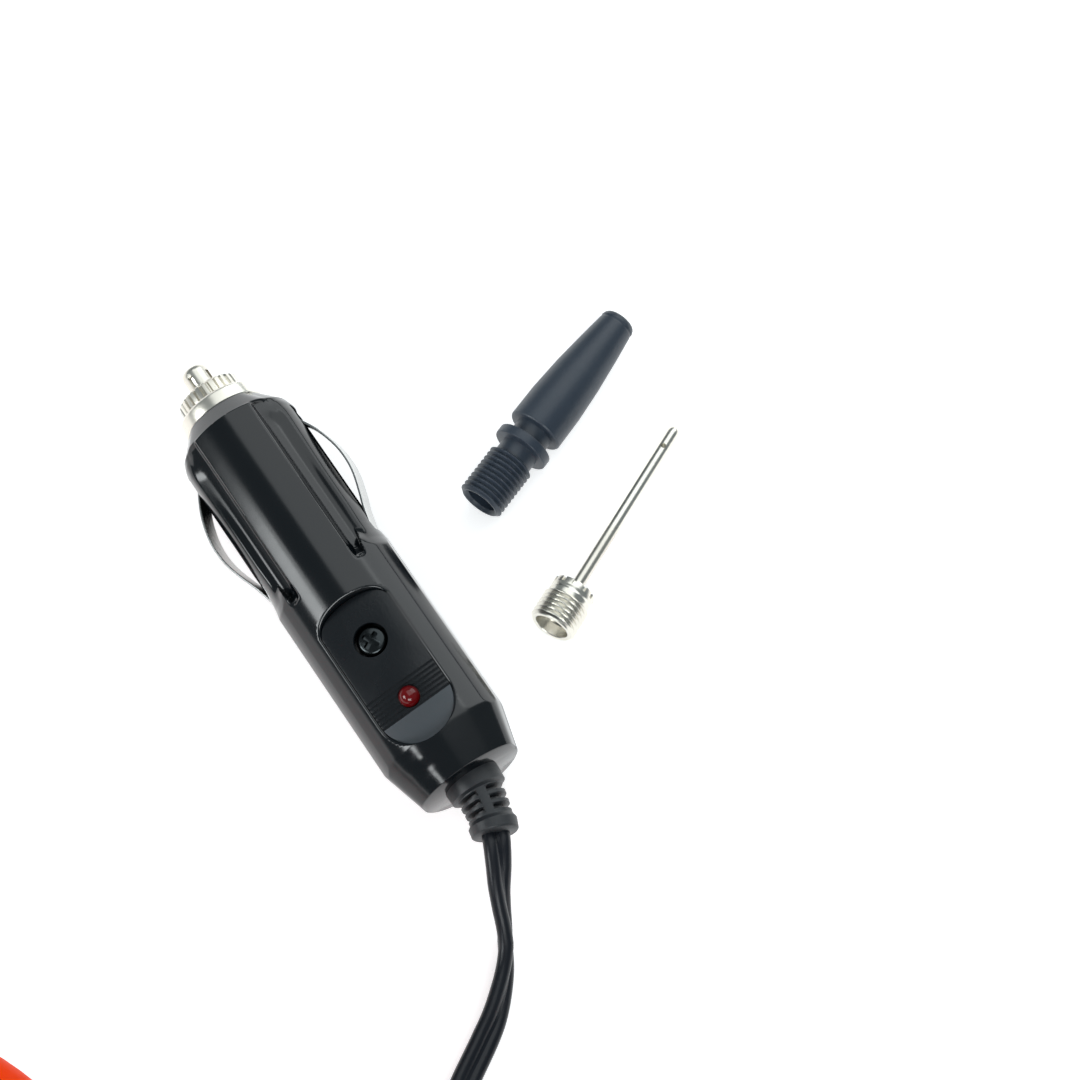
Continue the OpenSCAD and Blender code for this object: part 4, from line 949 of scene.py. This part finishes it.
@dataclass
class Lead:
    """The twin lead: gland, tail, coil, free stretch and the plug's strain relief."""

    plug: Plug
    width: float = 4.4
    wire_r: float = 1.15
    gland_end: float = 91.4
    gland_z: float = 13.0
    coil_left: float = 113.1
    coil_y: float = 4.5
    coil_r_in: float = 18.5
    turn_pitch: float = 5.0
    layer_pitch: float = 4.9
    layers: int = 4
    turns: float = 15 + (360 - 190 + 165) / 360
    relief_len: float = 9.2
    relief_bend: float = 20.0
    tie_half_w: float = 1.5
    tie_half_t: float = 0.35

    def coil_point(self, t: float) -> Rows:
        """Returns the coil's point that lies t turns from the tail."""
        per = self.turns / self.layers
        out = self.coil_r_in + self.turn_pitch * per
        r = self.coil_r_in + self.turn_pitch * abs((t / per) % 2 - 1) * per
        layer = sum(min(max(2 * (t - k * per) + 0.5, 0.0), 1.0) for k in range(1, self.layers))
        a = math.radians(165 - 360 * t)
        z = self.width / 2 + 0.05 + self.layer_pitch * layer
        return np.array([self.coil_left + out + r * math.cos(a), self.coil_y + r * math.sin(a), z])

    def coil_path(self) -> Rows:
        """Returns the coil's points, from the tail to the free stretch."""
        steps = round(self.turns * 36)
        points = [self.coil_point(self.turns * i / steps) for i in range(steps + 1)]
        first = points[0] - self.width * self.heading_at(165)
        last = points[-1] + self.width * self.heading_at(190)
        return np.array([first, *points, last])

    def heading_at(self, angle: float) -> Rows:
        """Returns the coil's direction where its angle is so many degrees."""
        a = math.radians(angle)
        return np.array([math.sin(a), -math.cos(a), 0.0])

    def relief_path(self, start: float, stop: float, count: int) -> Rows:
        """Returns points along the strain relief's arc, between two distances from the plug's body."""
        p = self.plug
        heading = math.radians(p.heading)
        base = np.array([p.x + p.length * math.cos(heading), p.y + p.length * math.sin(heading), p.z])
        radius = self.relief_len / math.radians(self.relief_bend)
        points = []
        for s in np.linspace(start, stop, count):
            b = heading - max(s, 0.0) / radius
            back = min(s, 0.0)
            points.append(base + radius * np.array([
                math.sin(heading) - math.sin(b), math.cos(b) - math.cos(heading), 0.0
            ]) + back * np.array([math.cos(heading), math.sin(heading), 0.0]))
        return np.array(points)

    def free_path(self) -> Rows:
        """Returns the free stretch's points, from the strain relief to the coil."""
        shown = np.array([
            *self.relief_path(0.0, self.relief_len, 5), (117.2, 85.4, 10.2), (117.4, 82.8, 9.3),
            (117.5, 80.2, 7.9), (117.8, 77.6, 6.2), (118.2, 75, 4.6), (118.4, 72.2, 3.3),
            (118.3, 69.2, 2.5), (117.8, 66, 2.3), (116.8, 62, 2.3), (115.2, 58, 2.3), (112.9, 53, 2.3),
        ])
        coil_end = self.coil_path()[-1]
        rest = bend(shown[-1], np.array([-6.5, -14.5, 0.0]), coil_end, -24 * self.heading_at(190), 14)
        return rounded_path(np.vstack([shown, rest[1:]]), 0.8)

    def twin_section(self) -> Rows:
        """Returns the lead's section: two round wires side by side with a web between them."""
        r, half = self.wire_r, self.width / 2 - self.wire_r
        right = [(half + r * math.cos(t), r * math.sin(t)) for t in np.linspace(-2.35, 2.35, 15)]
        left = [(-x, -y) for x, y in right]
        return np.array(right + left)

    def route(self) -> tuple[Rows, Rows]:
        """Returns the lead's centreline, from the gland to the plug, and its twist in degrees."""
        coil = self.coil_path()
        start = np.array([self.gland_end - 1.0, 0.0, self.gland_z])
        tail = bend(start, np.array([12.0, 0, 0]), coil[0], 12 * self.heading_at(165), 40)
        free = self.free_path()[::-1]
        path = np.vstack([tail[:-1], coil, free[1:]])
        run = run_along(path)
        left = run[-1] - run
        wound = run[len(tail) + len(coil)]
        shown = np.interp(left, [0, 3, 10, 18, 26, 40, 60, 90], [8, 4, -20, -62, -95, -30, -10, -4])
        loose = 60 * np.sin(run / 61.0) + 25 * np.sin(run / 23.0)
        return path, shown + (loose - shown) * ease_step(wound - run, 0, 60)

    def build(self) -> None:
        path, turn = self.route()
        cord = swept("power_lead", path, self.twin_section(), turn)
        settle(cord, LEAD_RUBBER, "cable", "power_cord", "power_cord_coil", "power_cord_tail")
        sleeve = self.add_sleeve()
        dress_nodes(RELIEF_RUBBER, "cord_gland")
        ties = [self.add_tie(path, a) for a in (35.0, 275.0)]

    def add_sleeve(self) -> Piece:
        """Returns the ribbed sleeve between the plug and the lead."""
        path = self.relief_path(-0.5, self.relief_len, 98)
        s = np.linspace(-0.5, self.relief_len, 98)
        angle = full_turn(96)
        wide = ([-0.5, 2.2, 2.5, 6.9, 7.2, 7.6, 9.0, 9.2], [4.5, 4.4, 3.7, 3.35, 3.5, 3.75, 3.6, 3.4])
        width = np.interp(s, *wide)
        gap = np.zeros_like(s)
        for middle in (3.15, 4.55, 5.95):
            gap = np.maximum(gap, ease_step(-np.abs(s - middle), -0.45, -0.25))
        spine = ease_step(np.abs(np.cos(angle)), 0.2, 0.32)
        side, upper = frames_along(path)
        r = width[:, None] - 1.15 * gap[:, None] * spine[None]
        rings = path[:, None] + (r * np.cos(angle)[None])[..., None] * side[:, None]
        rings = rings + (r * np.sin(angle)[None])[..., None] * upper[:, None]
        piece = loft("plug_sleeve", rings, HERE, sharp=55)
        return settle(piece, RELIEF_RUBBER, "cable", "plug_strain_relief")

    def add_tie(self, lead: Rows, angle: float) -> Piece:
        """Returns a tie that hugs the coil's turns.

        Args:
            lead: The lead's centreline.
            angle: Where on the coil the tie is, in degrees.

        Returns:
            The tie.
        """
        a = math.radians(angle)
        ray = np.array([math.cos(a), math.sin(a), 0.0])
        normal = np.array([-math.sin(a), math.cos(a), 0.0])
        out = self.coil_r_in + self.turn_pitch * self.turns / self.layers
        centre = np.array([self.coil_left + out, self.coil_y, 0.0])
        off = lead - centre
        along = off @ ray
        held = (np.abs(off @ normal) < 3.5) & (along > self.coil_r_in - 4) & (along < out + 4)
        reach = self.width / 2 + 0.45
        spots = np.array([
            (r + reach * math.cos(t), max(z + reach * math.sin(t), 0.5))
            for r, z in zip(along[held], lead[held, 2]) for t in full_turn(24)
        ])
        hull = spots[convex_hull_2d([tuple(p) for p in spots])]
        hull = np.vstack([hull, hull[:1]])
        run = run_along(hull)
        even = np.linspace(0, run[-1], 90)
        path = centre + np.interp(even, run, hull[:, 0])[:, None] * ray
        path[:, 2] = np.interp(even, run, hull[:, 1])
        ahead = np.roll(path[:-1], -1, axis=0) - np.roll(path[:-1], 1, axis=0)
        ahead = np.vstack([ahead, ahead[:1]])
        ahead /= np.linalg.norm(ahead, axis=1)[:, None]
        outward = np.cross(ahead, normal)
        w, t = self.tie_half_w, self.tie_half_t
        rings = np.stack([
            path + x * normal + y * outward for x, y in ((-w, -t), (w, -t), (w, t), (-w, t))
        ], axis=1)
        piece = loft(f"lead_tie_{round(angle)}", rings, HERE)
        return settle(piece, TIE_BLACK, "cable")


# Adaptors


def ridges(
    start: float, pitch: float, count: int, radius: float, depth: float, crest: float, foot: float
) -> Outline:
    """Returns the outline of a row of thread ridges.

    Args:
        start: Where the first ridge starts.
        pitch: The distance between ridges.
        count: How many there are.
        radius: The radius of their crests.
        depth: How deep the thread is.
        crest: Where the crest is on a ridge.
        foot: Where the ridge ends.

    Returns:
        Points of (place, radius).
    """
    shape = ((0.0, depth), (0.3, 0.02), (crest, 0.0), (foot, depth))
    return [(start + k * pitch + x, radius - down) for k in range(count) for x, down in shape]


@dataclass
class NozzleAdaptor:
    """The tapered plastic adaptor. Its own X runs from the thread to the tip."""

    x: float = 114.1
    y: float = 142.9
    z: float = 4.65
    heading: float = 54.7
    thread_r: float = 3.83
    thread_len: float = 8.5
    thread_pitch: float = 0.85
    bore_r: float = 2.6
    neck_r: float = 3.15
    neck_len: float = 2.3
    flange_r: float = 4.65
    flange_t: float = 1.6
    cone_r: float = 4.55
    tip_r: float = 2.5
    cone_len: float = 23.5

    def build(self) -> None:
        """Builds the adaptor."""
        r, neck, flange, cone, tip = self.thread_r, self.neck_r, self.flange_r, self.cone_r, self.tip_r
        a = self.thread_len
        b = a + self.neck_len
        c = b + self.flange_t
        d = c + self.neck_len
        e = d + self.cone_len
        outline = [
            (0.6, self.bore_r - 0.05), (0.0, self.bore_r + 0.35), (0.0, r - 0.55),
            *ridges(0.15, self.thread_pitch, int(a / self.thread_pitch), r, 0.5, 0.42, 0.75),
            (a, neck), (b, neck), (b, flange - 0.1), (b + 0.15, flange), (c - 0.15, flange),
            (c, flange - 0.1), (c, neck), (d, neck), (d, cone - 0.25), (d + 0.3, cone),
            (d + 0.25 * self.cone_len, cone * 0.985), (d + 0.5 * self.cone_len, cone * 0.9),
            (d + 0.75 * self.cone_len, cone * 0.76), (e - 1.5, tip + 0.42), (e - 1.2, tip + 0.3),
            (e - 0.9, tip + 0.42), (e - 0.3, tip + 0.2), (e, tip - 0.1), (e, 1.1), (e - 3, 1.1),
            (6.0, 1.1), (6.0, self.bore_r), (0.6, self.bore_r - 0.05),
        ]
        place = place_at(self.x, self.y, self.z, self.heading)
        piece = lathe("nozzle", eased(outline, 0.1, 2), place, 112, 40)
        settle(piece, ADAPTOR_PLASTIC, "adaptor", "nozzle_adaptor")


@dataclass
class BallNeedle:
    """The nickel ball needle. Its own X runs from the hub to the tip."""

    x: float = 125.2
    y: float = 122.4
    z: float = 4.3308
    heading: float = 60.4
    drop: float = 4.8627
    hub_r: float = 3.85
    hub_len: float = 7.5
    tube_r: float = 1.0
    tube_len: float = 32.6
    pitch: float = 0.8
    notches: int = 12

    def build(self) -> None:
        """Builds the hub and the tube."""
        place = place_at(self.x, self.y, self.z, self.heading, self.drop)
        end, r = self.hub_len, self.hub_r
        outline = [
            (1.9, 0.6), (1.9, 2.6), (0.1, 2.75), (0.0, 2.9), (0.0, r - 0.45),
            *ridges(0.2, self.pitch, int((end - 2.2) / self.pitch), r, 0.48, 0.4, 0.7),
            (end - 1.9, r - 0.3), (end - 1.5, r - 0.45), (end - 1.1, r - 0.3), (end, r - 0.35),
            (end, 2.4), (end - 0.7, 2.2), (end - 0.7, 1.02), (end - 2, 1.0), (2.4, 0.6), (1.9, 0.6),
        ]
        hub = lathe("needle_base", eased(outline, 0.08, 2), place)
        notches = []
        for k in range(self.notches):
            at = place @ Matrix.Rotation(math.radians(360 / self.notches * k), 4, "X")
            low, high = (end - 0.9, r - 0.95, -0.3), (end + 1, r + 0.6, 0.3)
            notches.append(block("notch", low, high, at, 0.05))
        cut(hub, *notches)
        settle(hub, CONTACT_NICKEL, "nickel", "needle_hub")
        tip, t = end + self.tube_len, self.tube_r
        tube = lathe("needle_pipe", eased([
            (end - 2.0, 0.6), (end - 2.0, t), (tip - 1.0, t), (tip - 0.4, t * 0.85), (tip, t * 0.35),
            (tip, 0.0),
        ], 0.3), place, 48)
        at = place @ Matrix.Translation((tip - 4.2, 0, 0)) @ Matrix.Rotation(-math.pi / 2, 4, "Y")
        cut(tube, lathe("side_hole", [(-0.3, 0.42), (3, 0.42)], at, 24))
        settle(tube, CONTACT_NICKEL, "nickel", "needle_tube")


# Housing and pump


@dataclass
class Housing:
    """The two shells, the sole, the panel, the handle and the screws."""

    def build(self) -> None:
        """Dresses the housing's nodes."""
        dress_nodes(HOUSING_ORANGE, "front_shell", "rear_shell", "handle")
        dress_nodes(SOFT_RUBBER, "rubber_sole", "handle_grip")
        dress_nodes(PANEL_GREY, "front_panel")
        dress_nodes(DARK_SCREW, "shell_screws")
        dress_nodes(BRASS, "hose_outlet")


@dataclass
class Gauge:
    """The pressure gauge with its printed dial."""

    z: float = 70.0
    dial_y: float = -38.8
    zero: float = 225.0
    sweep: float = 270.0
    top_value: int = 150
    steps: int = 30
    mark_out: float = 19.4
    number_r: float = 13.6
    number_size: float = 3.6

    def build(self) -> None:
        """Dresses the gauge and prints its dial."""
        dress_nodes(MOTOR_STEEL, "gauge_can")
        dress_nodes(DIAL_WHITE, "gauge_dial")
        dress_nodes(POINTER_RED, "gauge_pointer")
        dress_nodes(LENS, "gauge_lens")
        dress_nodes(SWITCH_BLACK, "gauge_bezel")
        self.print_scale()

    def on_dial(self, r: float, angle: float) -> Point:
        """Returns the point on the dial at a radius and at an angle clockwise from straight up."""
        a = math.radians(angle)
        return (r * math.sin(a), self.dial_y - 0.05, self.z + r * math.cos(a))

    def print_scale(self) -> None:
        """Prints the marks and the numbers."""
        corners, faces = [], []
        for k in range(self.steps + 1):
            angle = self.zero + self.sweep * k / self.steps
            a = math.radians(angle)
            inner, half = (16.6, 0.28) if k % 2 == 0 else (17.6, 0.16)
            for r in (inner, self.mark_out):
                x, y, z = self.on_dial(r, angle)
                dx, dz = half * math.cos(a), half * math.sin(a)
                corners += [(x - dx, y, z + dz), (x + dx, y, z - dz)]
            faces.append((4 * k, 4 * k + 1, 4 * k + 3, 4 * k + 2))
        scale = new_piece("dial_marks", np.array(corners) * MM, faces, False)
        settle(scale, PRINT_BLACK, "dial")
        for k in range(0, 16, 3):
            value = round(self.top_value * k / 15)
            x, y, z = self.on_dial(self.number_r, self.zero + self.sweep * k / 15)
            data = bpy.data.curves.new(f"dial_number_{value}", "FONT")
            data.body, data.size = str(value), self.number_size * MM
            data.align_x, data.align_y = "CENTER", "CENTER"
            data.materials.append(PRINT_BLACK.material())
            number = linked(f"dial_number_{value}", data)
            number.location = (x * MM, y * MM, z * MM)
            number.rotation_euler = (math.pi / 2, 0, 0)
            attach(number, "inflator")


@dataclass
class Switch:
    """The rocker switch and its frame."""

    def build(self) -> None:
        """Dresses the switch."""
        dress_nodes(SWITCH_BLACK, "switch_frame", "rocker_switch")


@dataclass
class Pump:
    """The motor, the gears, the cylinder and the pipes inside the housing."""

    def build(self) -> None:
        """Dresses the pump's nodes."""
        dress_nodes(MOTOR_STEEL, "motor_can", "motor_shaft", "gear_axle", "frame_plate")
        dress_nodes(GEAR_PLASTIC, "drive_gear")
        dress_nodes(CAST_ALUMINIUM, "cylinder_block", "cylinder_head", "piston_rod")
        dress_nodes(SOFT_RUBBER, "piston_seal")
        dress_nodes(HOSE_RUBBER, "outlet_pipe", "gauge_pipe", "supply_wires")


def main() -> None:
    """Builds and dresses the object."""
    logging.basicConfig(level=logging.INFO, format="%(name)s %(message)s")
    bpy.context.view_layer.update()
    plug = Plug()
    loose = (Lead(plug), NozzleAdaptor(), BallNeedle())
    for part in (Studio(), plug, *loose, Housing(), Gauge(), Switch(), Pump()):
        log.info("building %s", type(part).__name__)
        part.build()


if __name__ == "__main__":
    main()
